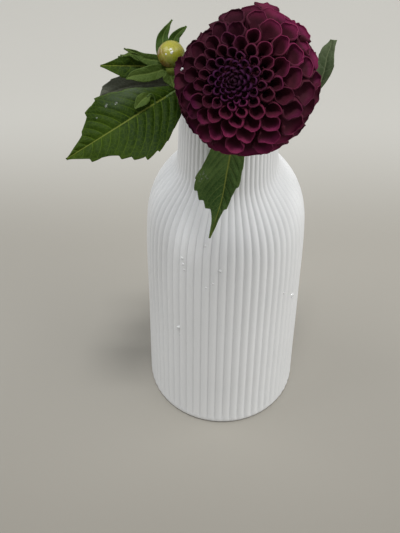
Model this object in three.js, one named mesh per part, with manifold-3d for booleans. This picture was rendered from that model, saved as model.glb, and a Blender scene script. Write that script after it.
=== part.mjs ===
// A cut pompon dahlia standing in a ribbed bud vase: one bloom, one closed bud and a few leaves.
// Millimetres, +Z up. The origin is the middle of the vase's flat foot.

import * as THREE from 'three';
import { mergeVertices } from 'three/addons/utils/BufferGeometryUtils.js';
import Module from 'manifold-3d';

const wasm = await Module();
wasm.setup();

// ---------------------------------------------------------------- driving dimensions

const GAP = 0.3; // clearance between neighbouring pieces

// vase
const FOOT_RADIUS = 43.8;
const BODY_RADIUS = 45;
const VASE_HEIGHT = 220;
const RIB_COUNT = 60;
const RIB_TURN = -86.75; // degrees: a rib's crest stands here, seen from above
const RIB_DEPTH = 0.022; // of the radius
const TAPER_TOP = 128; // the body narrows evenly up to this height
const TAPER_TOP_RADIUS = 43.7;
const SHOULDER_RADIUS = 42.7; // where the shoulder's curve starts
const MOUTH_RADIUS = 20.4; // inside the lip
const FLOOR_THICKNESS = 5;
const FLOOR_RADIUS = 37; // flat part of the floor inside
const FLOOR_CORNER = 4; // height of the sloped corner around it
const WALL_THICKNESS = 4;
const BORE_SIDES = 40;
const WATER_LEVEL = 118;
const WATER_SIDES = 30;

// flower stem and the bud's stalk
const STEM_RADIUS = 2.7;
const STEM_SIDES = 10;
const HOLE_SIDES = 12;
const HOLE_LENGTH = 160; // runs past both faces of the water
const STALK_RADIUS = 1.3;
const STALK_SIDES = 8;

// bloom
const BLOOM_CENTRE = new THREE.Vector3(5.8, -40.8, 260.2);
const BLOOM_AXIS = new THREE.Vector3(-0.226, -0.774, 0.592).normalize();
const LIP_RADIUS = 32; // the florets' outer lips lie on this sphere
const CORE_RADIUS = 24.6;
const BLOOM_BACK = 17.5; // the flat back lies this far behind the centre
const PITCH_CENTRE = 2.9; // floret spacing at the heart
const PITCH_OUTER = 9.7; // floret spacing from the shoulder on
const FULL_PITCH_ANGLE = 1.05; // radians from the heart, where the spacing is full
const LAST_FLORET_ANGLE = 2.14;
const GOLDEN_ANGLE = Math.PI * (3 - Math.sqrt(5));
const FLORET_SIDES = 6;
const HEART_ANGLE = 0.5; // the heart's small florets end here, with one side fewer each
const HEART_SINK = 1.2; // the middle of the heart lies this much lower
const FLORET = {
  room: 0.95, // area of the sphere that a floret takes, in squares of its pitch
  root: 0.34, // radius at its root, in pitches
  floor: 0.22, // radius of its floor inside, in pitches
  deepest: 0.75, // depth, in pitches
  innerDrop: 0.42, // how much lower the lip is on the inner side, as a share of the depth
};

// green cup and bracts behind the bloom
const CALYX_RADIUS = 9;
const CALYX_LENGTH = 6.4;
const BRACT_COUNT = 7;
const BRACT_REACH = 17.8; // from the bloom's axis to a bract's tip

// bud
const BUD_CENTRE = new THREE.Vector3(-27.6, -19.4, 258.4);
const BUD_AXIS = new THREE.Vector3(-0.085, 0.495, 0.865).normalize();
const BUD_RADIUS = 6.1;
const BUD_SCALES = 8;
const BUD_CUP_RADIUS = 3.3; // the cup that the outer bracts grow from
const BUD_CUP_DROP = 6.1; // its centre lies this far below the bud's

// foliage
const MARGIN_MINIMUM = 0.5; // half-width that a blade keeps at its tip
const LEAF_THICKNESS = 0.8;
const BRACT_THICKNESS = 0.7;
const MIDRIB_DEPTH = 0.6;
const TOOTHED_SHARE = 0.75; // beyond this share of its length a leaf's margin is smooth
const PETIOLE_RADIUS = 1.1;
const SMALL_STALK_RADIUS = 0.9;
const LEAFLET_STALK_RADIUS = 0.6;
const PETIOLE_SIDES = 6;

// ---------------------------------------------------------------- small helpers

const UP = new THREE.Vector3(0, 0, 1);

function point(x, y, z) {
  return new THREE.Vector3(x, y, z);
}

function seededRandom(seed) {
  let state = seed;
  return () => {
    state = (state * 16807) % 2147483647;
    return state / 2147483647;
  };
}

function signedVolume(positions, index) {
  const corner = (i) => new THREE.Vector3().fromArray(positions, 3 * index[i]);
  let sum = 0;
  for (let i = 0; i < index.length; i += 3) {
    sum += corner(i).dot(corner(i + 1).cross(corner(i + 2)));
  }
  return sum / 6;
}

// A closed geometry as a solid, with its shared corners merged and its faces turned outwards.
function solid(geometry) {
  const bare = geometry.clone();
  bare.deleteAttribute('normal');
  bare.deleteAttribute('uv');
  const merged = mergeVertices(bare, 1e-4);
  const positions = merged.getAttribute('position').array;
  const index = merged.getIndex().array;
  if (signedVolume(positions, index) < 0) {
    index.reverse();
  }
  return new wasm.Manifold(new wasm.Mesh({
    numProp: 3,
    vertProperties: Float32Array.from(positions),
    triVerts: Uint32Array.from(index),
  }));
}

// The largest connected piece of a solid: sealed hollows are filled and loose scraps dropped.
function mainPiece(shape) {
  const pieces = shape.decompose();
  return pieces.reduce((best, next) => (next.volume() > best.volume() ? next : best));
}

function geometryOf(shape) {
  const mesh = shape.getMesh();
  const geometry = new THREE.BufferGeometry();
  geometry.setAttribute('position', new THREE.Float32BufferAttribute(mesh.vertProperties, 3));
  geometry.setIndex(Array.from(mesh.triVerts));
  geometry.computeVertexNormals();
  return geometry;
}

function unite(shapes) {
  return shapes.reduce((whole, next) => whole.add(next));
}

function ringShape(radius, sides) {
  const outline = [];
  for (let i = 0; i < sides; i += 1) {
    const angle = (2 * Math.PI * i) / sides;
    outline.push(new THREE.Vector2(radius * Math.cos(angle), radius * Math.sin(angle)));
  }
  return new THREE.Shape(outline);
}

// A round tube with closed ends along a smooth curve through the given points.
function tube(points, radius, sides, steps) {
  const curve = new THREE.CatmullRomCurve3(points, false, 'centripetal');
  const settings = { steps, extrudePath: curve, bevelEnabled: false };
  return solid(new THREE.ExtrudeGeometry(ringShape(radius, sides), settings));
}

// A solid of revolution about Z from a closed profile of [radius, height] pairs.
function turned(profile, sides) {
  const outline = profile.map(([radius, height]) => new THREE.Vector2(radius, height));
  const lathe = new THREE.LatheGeometry(outline, sides);
  lathe.rotateX(Math.PI / 2);
  return lathe;
}

function listValue(values, fraction) {
  const place = THREE.MathUtils.clamp(fraction, 0, 1) * (values.length - 1);
  const low = Math.min(Math.floor(place), values.length - 2);
  return THREE.MathUtils.lerp(values[low], values[low + 1], place - low);
}

// ---------------------------------------------------------------- vase and water

// Outline from the foot up to the lip, on the ribs' crests.
const VASE_OUTLINE = [
  [FOOT_RADIUS, 0],
  [BODY_RADIUS, 1.6],
  [TAPER_TOP_RADIUS, TAPER_TOP],
  [SHOULDER_RADIUS, 144],
  [41.1, 152],
  [38.2, 159.5],
  [33.2, 167.5],
  [29.1, 173],
  [26.9, 177.5],
  [26.2, 182.5],
  [24.6, 216.5],
  [23.4, VASE_HEIGHT],
];

// Inside of the wall, from the middle of the floor up to the mouth.
const BORE_OUTLINE = [
  [0, FLOOR_THICKNESS],
  [FLOOR_RADIUS, FLOOR_THICKNESS],
  [BODY_RADIUS - WALL_THICKNESS - 0.6, FLOOR_THICKNESS + FLOOR_CORNER],
  [TAPER_TOP_RADIUS - WALL_THICKNESS, TAPER_TOP],
  [SHOULDER_RADIUS - WALL_THICKNESS, 143],
  [34.4, 156],
  [25.4, 169.5],
  [22.2, 178],
  [MOUTH_RADIUS, VASE_HEIGHT],
];

function ribbedOutside() {
  const sides = 2 * RIB_COUNT;
  const lathe = turned([[0, 0], ...VASE_OUTLINE, [0, VASE_HEIGHT]], sides);
  const place = lathe.getAttribute('position');
  for (let i = 0; i < place.count; i += 1) {
    const column = Math.floor(i / (VASE_OUTLINE.length + 2)) % 2;
    const lip = place.getZ(i) > VASE_HEIGHT - 1;
    const groove = column === 1 && !lip ? 1 - RIB_DEPTH : 1;
    place.setX(i, place.getX(i) * groove);
    place.setY(i, place.getY(i) * groove);
  }
  lathe.rotateZ(THREE.MathUtils.degToRad(RIB_TURN));
  return lathe;
}

function vaseSolid() {
  const above = VASE_HEIGHT + 2;
  const bore = turned([...BORE_OUTLINE, [MOUTH_RADIUS, above], [0, above]], BORE_SIDES);
  return solid(ribbedOutside()).subtract(solid(bore));
}

function waterSolid() {
  const shrink = 2 * GAP;
  const side = (height) => {
    const [low, high] = [BORE_OUTLINE[2], BORE_OUTLINE[3]];
    const share = (height - low[1]) / (high[1] - low[1]);
    return THREE.MathUtils.lerp(low[0], high[0], share) - shrink;
  };
  const base = FLOOR_THICKNESS + GAP;
  const corner = FLOOR_THICKNESS + FLOOR_CORNER + 0.4;
  const profile = [
    [0, base],
    [FLOOR_RADIUS - shrink, base],
    [side(corner), corner],
    [side(WATER_LEVEL), WATER_LEVEL],
    [0, WATER_LEVEL],
  ];
  return solid(turned(profile, WATER_SIDES)).subtract(solid(stemHole()));
}

// ---------------------------------------------------------------- stem

// The stem leans straight through the water, then bends over the rim to the bloom's back.
const STEM_FOOT = point(-8, 12, FLOOR_THICKNESS + GAP + 0.4);
const STEM_LEAN = point(11.9, -11.1, 114.3).normalize();
const onLean = (distance) => STEM_FOOT.clone().addScaledVector(STEM_LEAN, distance);
const STEM_PATH = [
  STEM_FOOT,
  onLean(60),
  onLean(118),
  onLean(140),
  point(10.4, -5.2, 182),
  point(14, -8.8, 216),
  point(15.4, -11.6, 229),
  point(14.3, -16.6, 240),
  point(12.2, -22.2, 246.2),
];
const STALK_PATH = [
  point(15.2, -10.8, 226),
  point(9, -9.5, 234),
  point(0, -10.5, 240.5),
  point(-13, -15.5, 245.8),
  point(-23.5, -22.6, 247.2),
  point(-27.2, -23.8, 250.4),
  point(-27.5, -21.6, 254.4),
];

function stemTube(extra) {
  return tube(STEM_PATH, STEM_RADIUS + extra, STEM_SIDES, 18);
}

// The plain straight hole in which the stem stands in the water.
function stemHole() {
  const radius = (STEM_RADIUS + GAP) / Math.cos(Math.PI / HOLE_SIDES);
  const hole = new THREE.CylinderGeometry(radius, radius, HOLE_LENGTH, HOLE_SIDES);
  hole.applyQuaternion(new THREE.Quaternion().setFromUnitVectors(point(0, 1, 0), STEM_LEAN));
  const middle = onLean(0.5 * WATER_LEVEL);
  hole.translate(middle.x, middle.y, middle.z);
  return hole;
}

function stalkTube(extra) {
  return tube(STALK_PATH, STALK_RADIUS + extra, STALK_SIDES, 14);
}

// ---------------------------------------------------------------- leaves and bracts

// A thin blade on a midrib curve. left and right are half-widths at even steps from base to tip,
// face is the side that the upper surface looks to, fold lifts the sides, wave ripples the margins.
function blade(spec) {
  const curve = new THREE.CatmullRomCurve3(spec.midrib, false, 'centripetal');
  const rows = spec.teeth ? 2 * spec.teeth : spec.rows;
  const across = spec.teeth ? [-1, -0.5, 0, 0.5, 1] : [-1, 0, 1];
  const columns = across.length;
  const top = [];
  const under = [];
  for (let row = 0; row <= rows; row += 1) {
    const along = row / rows;
    const heading = curve.getTangentAt(along);
    const side = heading.clone().cross(spec.face).normalize();
    const normal = side.clone().cross(heading).normalize();
    const rib = curve.getPointAt(along);
    for (const u of across) {
      const widths = u < 0 ? spec.left : spec.right;
      const edge = Math.abs(u) === 1;
      const tooth = spec.teeth && edge && row % 2 === 1 && along < TOOTHED_SHARE ? spec.tooth : 0;
      const half = Math.max(listValue(widths, along), MARGIN_MINIMUM);
      const reach = Math.sign(u) * (Math.abs(u) * half + tooth);
      const ripple = edge ? spec.wave * Math.sin(row * 1.9 + u) : 0;
      const lift = spec.fold * Math.abs(reach) + ripple;
      const upper = rib.clone().addScaledVector(side, reach).addScaledVector(normal, lift);
      upper.addScaledVector(heading, edge ? tooth : 0);
      const depth = spec.thickness + (u === 0 ? spec.ribDepth : 0);
      top.push(upper);
      under.push(upper.clone().addScaledVector(normal, -depth));
    }
  }
  return sheetBetween(top, under, columns);
}

// Closes two grids of corners, split alike, into one thin solid.
function sheetBetween(top, under, columns) {
  const rows = top.length / columns;
  const offset = top.length;
  const index = [];
  const quad = (a, b, c, d) => index.push(a, b, c, a, c, d);
  for (let row = 0; row + 1 < rows; row += 1) {
    for (let column = 0; column + 1 < columns; column += 1) {
      const a = row * columns + column;
      const [b, c, d] = [a + 1, a + columns + 1, a + columns];
      index.push(a, b, c, a, c, d);
      index.push(offset + a, offset + c, offset + b, offset + a, offset + d, offset + c);
    }
    const left = row * columns;
    const right = left + columns - 1;
    quad(left, left + columns, offset + left + columns, offset + left);
    quad(right + columns, right, offset + right, offset + right + columns);
  }
  const last = (rows - 1) * columns;
  for (let column = 0; column + 1 < columns; column += 1) {
    quad(column + 1, column, offset + column, offset + column + 1);
    quad(last + column, last + column + 1, offset + last + column + 1, offset + last + column);
  }
  const geometry = new THREE.BufferGeometry();
  geometry.setAttribute('position', new THREE.Float32BufferAttribute(
    [...top, ...under].flatMap((corner) => corner.toArray()), 3));
  geometry.setIndex(index);
  return solid(geometry);
}

function petiole(points) {
  return tube(points, PETIOLE_RADIUS, PETIOLE_SIDES, 3 * (points.length - 1));
}

const LEAF_DEFAULTS = { thickness: LEAF_THICKNESS, ribDepth: MIDRIB_DEPTH, tooth: 0.9, wave: 0.4 };

function largeLeftLeaf() {
  const base = point(-25.4, -28.2, 244.9);
  const leaf = blade({
    ...LEAF_DEFAULTS,
    midrib: [base, point(-38, -39.8, 244.2), point(-49.7, -48.4, 241.4), point(-73.7, -58.2, 230.1)],
    face: point(0.127, -0.594, 0.794),
    left: [5.8, 10.7, 13.8, 17, 18.6, 18, 13.8, 9.6, 7.2, 3.6, 0.5],
    right: [2.9, 5.4, 7.8, 10.7, 12.7, 14.8, 14.6, 11.2, 5.5, 2.6, 0.5],
    teeth: 10,
    tooth: 0.9,
    fold: 0.12,
  });
  const stalk = petiole([
    point(15, -10.6, 223.5), point(4, -12, 231.5), point(-9, -17, 239), point(-18, -23.2, 242.6), base,
    point(-29, -31.4, 244.3),
  ]);
  return unite([leaf, stalk, ...leafletOn(base)]);
}

// A small leaflet on a thin stalk of its own, growing at the large leaf's base.
function leafletOn(base) {
  const root = point(-36.6, -36.8, 249.7);
  const leaf = blade({
    ...LEAF_DEFAULTS,
    midrib: [root, point(-40, -40.6, 249.2), point(-43, -44.6, 247.8)],
    face: point(0.2, -0.62, 0.76),
    left: [0.6, 2.4, 2.6, 1.6, 0.4],
    right: [0.6, 2.2, 2.6, 1.8, 0.4],
    rows: 5,
    wave: 0.2,
    fold: 0.2,
  });
  const path = [base, point(-30.5, -30.8, 248), root, point(-38, -38.4, 249.2)];
  return [leaf, tube(path, LEAFLET_STALK_RADIUS, PETIOLE_SIDES - 1, 6)];
}

function rearLeftLeaf() {
  const base = point(-25.6, -19.6, 241.4);
  const leaf = blade({
    ...LEAF_DEFAULTS,
    midrib: [base, point(-37.7, -18.4, 240.7), point(-50.7, -18.6, 238.4), point(-61.9, -19.7, 233.4)],
    face: point(-0.072, -0.86, 0.506),
    left: [2.3, 5.4, 6.8, 8, 8.6, 8.9, 9, 8.9, 7.9, 5.6, 0.5],
    right: [1.4, 2.9, 4.4, 5.4, 6.2, 6.3, 6.1, 5.6, 4.9, 3.4, 0.5],
    teeth: 8,
    tooth: 0.4,
    fold: 0.08,
  });
  const stalk = petiole([
    point(15, -10, 220.8), point(4, -6.6, 229.5), point(-8, -10, 235.4), point(-18, -16, 240), base,
    point(-30, -19.2, 241.2),
  ]);
  return unite([leaf, stalk]);
}

function smallLeftLeaf() {
  const base = point(-32.2, -18.9, 248.5);
  const leaf = blade({
    ...LEAF_DEFAULTS,
    midrib: [base, point(-40, -18.2, 250.7), point(-49.1, -19.4, 251.9), point(-59.6, -20.9, 253.1)],
    face: point(0.158, -0.79, 0.592),
    left: [1.8, 4.4, 5.8, 6.1, 4.6, 2.4, 0.5],
    right: [1.8, 3.6, 4.4, 4.4, 4, 2, 0.5],
    teeth: 5,
    tooth: 0.4,
    fold: 0.15,
  });
  const path = [point(-26, -23.2, 248.4), point(-29.4, -20.6, 247.4), base, point(-34.4, -18.6, 249)];
  return unite([leaf, tube(path, SMALL_STALK_RADIUS, PETIOLE_SIDES, 6)]);
}

function frontLeaf() {
  const base = point(1.2, -31.8, 224.4);
  const leaf = blade({
    ...LEAF_DEFAULTS,
    midrib: [base, point(0, -35.4, 214.8), point(-1.7, -38.4, 203), point(-3.6, -40.8, 189.3),
      point(-6.3, -44.4, 179.2), point(-9.4, -47.8, 169)],
    face: point(0.06, -0.974, 0.228),
    left: [3.6, 6.2, 6.8, 6.9, 6.8, 5.5, 4.1, 2.5, 1.2, 0.7, 0.5],
    right: [4, 8.8, 10.4, 12, 14.2, 13.8, 10.6, 5.4, 2.7, 1.5, 0.5],
    teeth: 9,
    tooth: 0.8,
    fold: 0.16,
  });
  const stalk = petiole([
    point(15.2, -11.2, 227.4), point(11, -19, 230.2), point(6, -26.4, 229), base,
    point(0.6, -33.4, 220.5),
  ]);
  return unite([leaf, stalk]);
}

function rightLeaf() {
  const base = point(31, -19.2, 234.4);
  const leaf = blade({
    ...LEAF_DEFAULTS,
    midrib: [base, point(38.4, -23, 241.6), point(41.4, -20.4, 249.4), point(43.2, -16.6, 256.2),
      point(45.6, -12.4, 263)],
    face: point(-0.35, -0.8, 0.46),
    left: [1.6, 3.6, 4.6, 4.4, 3.4, 2.2, 0.5],
    right: [1.6, 3.2, 4.2, 4, 3.2, 2, 0.5],
    teeth: 6,
    tooth: 0.5,
    fold: 0.35,
  });
  const stalk = petiole([
    point(15.3, -11.6, 228.6), point(19.6, -13, 230.2), point(25, -15.4, 231.4), base,
    point(33.6, -20.8, 236.8),
  ]);
  return unite([leaf, stalk]);
}

// ---------------------------------------------------------------- bloom

// Florets in a golden-angle spiral from the heart outwards, each with the room its pitch asks for.
function floretPlaces() {
  const random = seededRandom(1789);
  const places = [];
  const middle = 0.5 * (CORE_RADIUS + LIP_RADIUS);
  let theta = 0.05;
  for (let count = 0; theta < LAST_FLORET_ANGLE; count += 1) {
    const grown = THREE.MathUtils.smoothstep(theta / FULL_PITCH_ANGLE, -0.12, 1);
    const pitch = THREE.MathUtils.lerp(PITCH_CENTRE, PITCH_OUTER, grown);
    const jitter = 0.04 * (random() - 0.5);
    places.push({ theta, turn: count * GOLDEN_ANGLE + jitter, pitch, stretch: 1 + 0.1 * random() });
    const share = (FLORET.room * pitch * pitch) / (2 * Math.PI * middle * middle);
    theta = Math.acos(Math.max(Math.cos(theta) - share, -1));
  }
  return places;
}

// One rolled floret: a cup with a high rounded lip on its outer side, rooted in the core.
function floret({ theta, turn, pitch, stretch }) {
  const sunk = 0.22 * pitch + 0.8;
  const wall = THREE.MathUtils.clamp(0.1 * pitch, 0.6, 0.9);
  const outward = point(Math.sin(theta), 0, Math.cos(theta)).applyAxisAngle(UP, turn);
  const across = point(-Math.sin(turn), Math.cos(turn), 0);
  const away = across.clone().cross(outward);
  const crown = LIP_RADIUS - HEART_SINK * (1 - Math.min(theta / HEART_ANGLE, 1));
  const depth = Math.min(FLORET.deepest * pitch, crown - CORE_RADIUS);
  const corner = (angle, radius, height) => outward.clone().multiplyScalar(height)
    .addScaledVector(away, radius * Math.cos(angle))
    .addScaledVector(across, radius * Math.sin(angle));
  const rings = [[], [], [], []];
  const sides = theta < HEART_ANGLE ? FLORET_SIDES - 1 : FLORET_SIDES;
  for (let i = 0; i < sides; i += 1) {
    const angle = (2 * Math.PI * i) / sides;
    const outer = 0.5 * (1 + Math.cos(angle));
    const lip = crown * stretch ** 0.2 - (1 - outer) * FLORET.innerDrop * depth - 0.4;
    const reach = 0.5 * pitch * (0.94 + 0.1 * outer);
    rings[0].push(corner(angle, FLORET.root * pitch, CORE_RADIUS - sunk));
    rings[1].push(corner(angle, reach, lip));
    rings[2].push(corner(angle, reach - wall, lip - 0.1));
    rings[3].push(corner(angle, FLORET.floor * pitch, crown - 0.85 * depth));
  }
  return cup(rings);
}

// A cup from four rings of corners: root, outer lip, inner lip and floor.
function cup(rings) {
  const sides = rings[0].length;
  const index = [];
  for (let ring = 0; ring + 1 < rings.length; ring += 1) {
    for (let i = 0; i < sides; i += 1) {
      const next = (i + 1) % sides;
      const [a, b] = [ring * sides + i, ring * sides + next];
      index.push(a, b, b + sides, a, b + sides, a + sides);
    }
  }
  const floor = (rings.length - 1) * sides;
  for (let i = 1; i + 1 < sides; i += 1) {
    index.push(0, i + 1, i);
    index.push(floor, floor + i, floor + i + 1);
  }
  const geometry = new THREE.BufferGeometry();
  geometry.setAttribute('position', new THREE.Float32BufferAttribute(
    rings.flat().flatMap((corner) => corner.toArray()), 3));
  geometry.setIndex(index);
  return solid(geometry);
}

function bloomSolid() {
  const core = solid(new THREE.SphereGeometry(CORE_RADIUS, 20, 12));
  const behind = new THREE.BoxGeometry(4 * LIP_RADIUS, 4 * LIP_RADIUS, LIP_RADIUS);
  behind.translate(0, 0, -BLOOM_BACK - 0.5 * LIP_RADIUS);
  return mainPiece(unite([core.subtract(solid(behind)), ...floretPlaces().map(floret)]));
}

// The green cup and its bracts behind the bloom.
function bloomBracts() {
  const front = -BLOOM_BACK - GAP;
  const seat = turned([
    [0, front - CALYX_LENGTH],
    [0.4 * CALYX_RADIUS, front - CALYX_LENGTH],
    [0.93 * CALYX_RADIUS, front - 0.35 * CALYX_LENGTH],
    [CALYX_RADIUS, front],
    [0, front],
  ], 12);
  const blades = [];
  for (let i = 0; i < BRACT_COUNT; i += 1) {
    const turn = (2 * Math.PI * i) / BRACT_COUNT + 0.3;
    const ray = point(Math.cos(turn), Math.sin(turn), 0);
    const along = (share, drop) => ray.clone().multiplyScalar(share * BRACT_REACH).setZ(front - drop);
    blades.push(blade({
      midrib: [along(0.34, 1.2), along(0.62, 1.6), along(0.88, 3.4), along(1, 6.6)],
      face: point(0, 0, 1),
      left: [2.6, 3.4, 3, 0.5],
      right: [2.6, 3.4, 3, 0.5],
      rows: 4,
      wave: 0,
      fold: 0.03,
      thickness: BRACT_THICKNESS,
      ribDepth: 0.3,
    }));
  }
  return mainPiece(unite([solid(seat), ...blades]));
}

// ---------------------------------------------------------------- bud

function budSphere(extra) {
  const ball = new THREE.SphereGeometry(BUD_RADIUS + extra, 16, 10);
  ball.rotateX(Math.PI / 2);
  return ball;
}

// The closed bud, faintly lobed where its scales overlap.
function budSolid() {
  const ball = budSphere(0);
  const place = ball.getAttribute('position');
  for (let i = 0; i < place.count; i += 1) {
    const turn = Math.atan2(place.getY(i), place.getX(i));
    const lobe = 1 - 0.018 * (1 + Math.cos(BUD_SCALES * turn));
    place.setX(i, place.getX(i) * lobe);
    place.setY(i, place.getY(i) * lobe);
  }
  return solid(ball);
}

// Outer bracts that spread from a small cup under the bud, in the bud's own frame.
function budBracts(group) {
  const toLocal = (world) => group.worldToLocal(world);
  const turnBack = group.quaternion.clone().invert();
  const cupBall = new THREE.SphereGeometry(BUD_CUP_RADIUS, 8, 6);
  cupBall.translate(0, 0, -BUD_CUP_DROP);
  const pointing = (tips, left, right, face) => blade({
    midrib: tips.map(toLocal),
    face: face.applyQuaternion(turnBack),
    left,
    right,
    rows: 5,
    wave: 0.25,
    fold: 0.22,
    thickness: BRACT_THICKNESS,
    ribDepth: 0.3,
  });
  const rear = [
    pointing([point(-28, -19.6, 252.6), point(-31.4, -12, 255.4), point(-31.7, -9.6, 257.8),
      point(-31.4, -7.6, 260), point(-30, -6.4, 262.8), point(-27.2, -4.6, 266.3)],
    [1.5, 2.6, 2.6, 2.1, 1.2, 0.4], [1.5, 2.6, 2.6, 2.1, 1.2, 0.4], point(0, -1, 0.2)),
    pointing([point(-26.4, -19.4, 252.8), point(-27, -11.3, 255.6), point(-26.6, -8.9, 257.7),
      point(-25.8, -7.6, 259.6), point(-23.7, -6.4, 261.3), point(-20.9, -4.9, 263.4)],
    [1.5, 2.4, 2.4, 2.1, 1.5, 0.4], [1.5, 2.4, 2.4, 2.1, 1.5, 0.4], point(0, -1, 0.2)),
    pointing([point(-25.6, -20.4, 252.6), point(-21, -17.4, 253.6), point(-16.4, -13, 256.6),
      point(-13.4, -9, 260)], [1.4, 2.4, 2.2, 1.4, 0.4], [1.4, 2.4, 2.2, 1.4, 0.4], point(0, -0.5, 1)),
  ];
  const left = [
    pointing([point(-29, -21.6, 252.6), point(-33.9, -24.6, 252.7), point(-39.2, -27.3, 253.1),
      point(-44.5, -28.7, 253.3), point(-47.6, -29.8, 252.5)],
    [1.5, 3, 3.4, 2.6, 0.6], [1.5, 3, 3.4, 2.6, 0.6], point(0.1, -0.8, 0.6)),
    pointing([point(-29.4, -20.4, 253.4), point(-34.5, -19, 254.7), point(-37.5, -19.2, 255.2),
      point(-40.6, -19.2, 256.6), point(-43.5, -18.7, 258.3), point(-48.5, -19, 261)],
    [1.4, 2.2, 2.4, 1.8, 0.9, 0.4], [1.4, 2.2, 2.4, 1.8, 0.9, 0.4], point(0.1, -0.8, 0.6)),
  ];
  return unite([solid(cupBall), ...rear, ...left]).subtract(solid(budSphere(GAP)));
}

// ---------------------------------------------------------------- materials and assembly

function material(color, roughness, metalness = 0) {
  return new THREE.MeshStandardMaterial({ color, roughness, metalness });
}

function piece(name, shape, finish) {
  const mesh = new THREE.Mesh(geometryOf(shape), finish);
  mesh.name = name;
  return mesh;
}

function headGroup(centre, axis) {
  const group = new THREE.Group();
  group.position.copy(centre);
  group.quaternion.setFromUnitVectors(point(0, 0, 1), axis);
  group.updateMatrixWorld(true);
  return group;
}

const bloomHead = headGroup(BLOOM_CENTRE, BLOOM_AXIS);
const budHead = headGroup(BUD_CENTRE, BUD_AXIS);

const budCupPlace = BUD_CENTRE.clone().addScaledVector(BUD_AXIS, -BUD_CUP_DROP);
const budCupRoom = new THREE.SphereGeometry(BUD_CUP_RADIUS + GAP, 16, 12);
budCupRoom.translate(budCupPlace.x, budCupPlace.y, budCupPlace.z);

// Everything in front of the calyx's end, where the stem stops short.
const calyxRoom = new THREE.BoxGeometry(2 * BRACT_REACH, 2 * BRACT_REACH, 2 * CALYX_LENGTH);
calyxRoom.translate(0, 0, -BLOOM_BACK - 2 * GAP);
calyxRoom.applyMatrix4(bloomHead.matrixWorld);

const stem = stemTube(0).add(stalkTube(0)).subtract(solid(budCupRoom)).subtract(solid(calyxRoom));
const stemRoom = stemTube(GAP).add(stalkTube(GAP));
const offStem = (shape) => mainPiece(shape.subtract(stemRoom));

bloomHead.add(
  piece('bloom', bloomSolid(), material(0x4a0f26, 0.7)),
  piece('bloom_bracts', bloomBracts(), material(0x5c7a3a, 0.6)),
);
budHead.add(
  piece('bud', budSolid(), material(0x9aa23c, 0.35)),
  piece('bud_bracts', budBracts(budHead), material(0x4f6f34, 0.55)),
);

const plantAndVase = new THREE.Group();
plantAndVase.add(
  piece('vase', vaseSolid(), material(0xd9dad8, 0.5)),
  piece('water', waterSolid(), material(0xdfe8ea, 0.05)),
  piece('stem', stem, material(0x5f7d3b, 0.55)),
  bloomHead,
  budHead,
  piece('leaf_left_large', offStem(largeLeftLeaf()), material(0x2f4a22, 0.5)),
  piece('leaf_left_rear', offStem(rearLeftLeaf()), material(0x4a4f42, 0.65)),
  piece('leaf_left_small', offStem(smallLeftLeaf()), material(0x2b4720, 0.5)),
  piece('leaf_front', offStem(frontLeaf()), material(0x33502a, 0.5)),
  piece('leaf_right', offStem(rightLeaf()), material(0x5a6f4c, 0.6)),
);

export default plantAndVase;
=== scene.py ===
"""A cut pompon dahlia in a ribbed bud vase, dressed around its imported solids.

Sizes and places of the plant and the vase are in millimetres, and MM turns them into metres.
The origin is the middle of the vase's foot, +Z is up, and the bloom looks towards -Y.
"""

import logging
import math
import random
from collections.abc import Callable, Sequence
from dataclasses import dataclass, field
from enum import Enum

import bpy
from mathutils import Matrix, Vector, noise


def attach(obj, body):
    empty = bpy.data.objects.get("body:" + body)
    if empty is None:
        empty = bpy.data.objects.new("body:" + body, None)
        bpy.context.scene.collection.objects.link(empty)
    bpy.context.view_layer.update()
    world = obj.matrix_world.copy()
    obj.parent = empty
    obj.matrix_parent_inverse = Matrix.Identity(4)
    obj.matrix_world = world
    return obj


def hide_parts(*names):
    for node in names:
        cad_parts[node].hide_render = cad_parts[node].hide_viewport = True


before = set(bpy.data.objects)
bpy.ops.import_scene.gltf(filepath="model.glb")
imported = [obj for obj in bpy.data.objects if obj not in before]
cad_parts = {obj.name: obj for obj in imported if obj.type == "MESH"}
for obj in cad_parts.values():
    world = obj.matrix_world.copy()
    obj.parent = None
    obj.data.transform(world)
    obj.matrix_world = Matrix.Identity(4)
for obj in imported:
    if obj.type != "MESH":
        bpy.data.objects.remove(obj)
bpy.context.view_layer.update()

LOG = logging.getLogger("dahlia")
MM = 0.001
WELD_DISTANCE = 2e-6  # metres
BODY = "root"
GOLDEN_ANGLE = math.pi * (3 - math.sqrt(5))
SEED = 1789
Colour = tuple[float, float, float]
Point = tuple[float, float, float]
Pair = tuple[float, float]


class Slot(Enum):
    """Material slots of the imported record."""

    VASE = "vase"
    WATER = "water"
    STEM = "stem"
    PETALS = "petals"
    BRACTS = "bracts"
    BUD = "bud"
    LEAF = "leaf"
    UNDERSIDE = "leaf_underside"


# ------------------------------------------------------------------ small tools


def clamp(value: float, low: float = 0.0, high: float = 1.0) -> float:
    """The value kept between low and high."""
    return max(low, min(high, value))


def smooth(low: float, high: float, value: float) -> float:
    """Smooth step from 0 at low to 1 at high."""
    t = clamp((value - low) / (high - low))
    return t * t * (3 - 2 * t)


def facing(spot: Vector, direction: Point, low: float, high: float) -> float:
    """Smooth step of how well a unit vector faces a direction, from 0 at low to 1 at high."""
    return smooth(low, high, spot.dot(Vector(direction)))


def cubic_between(start: float | Vector, end: float | Vector, rise_start: float | Vector,
                  rise_end: float | Vector, t: float) -> float | Vector:
    """A smooth way from start to end, read at share t, with a rate of change given at each end."""
    way = (2 * t**3 - 3 * t**2 + 1) * start + (t**3 - 2 * t**2 + t) * rise_start
    return way + (3 * t**2 - 2 * t**3) * end + (t**3 - t**2) * rise_end


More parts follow.
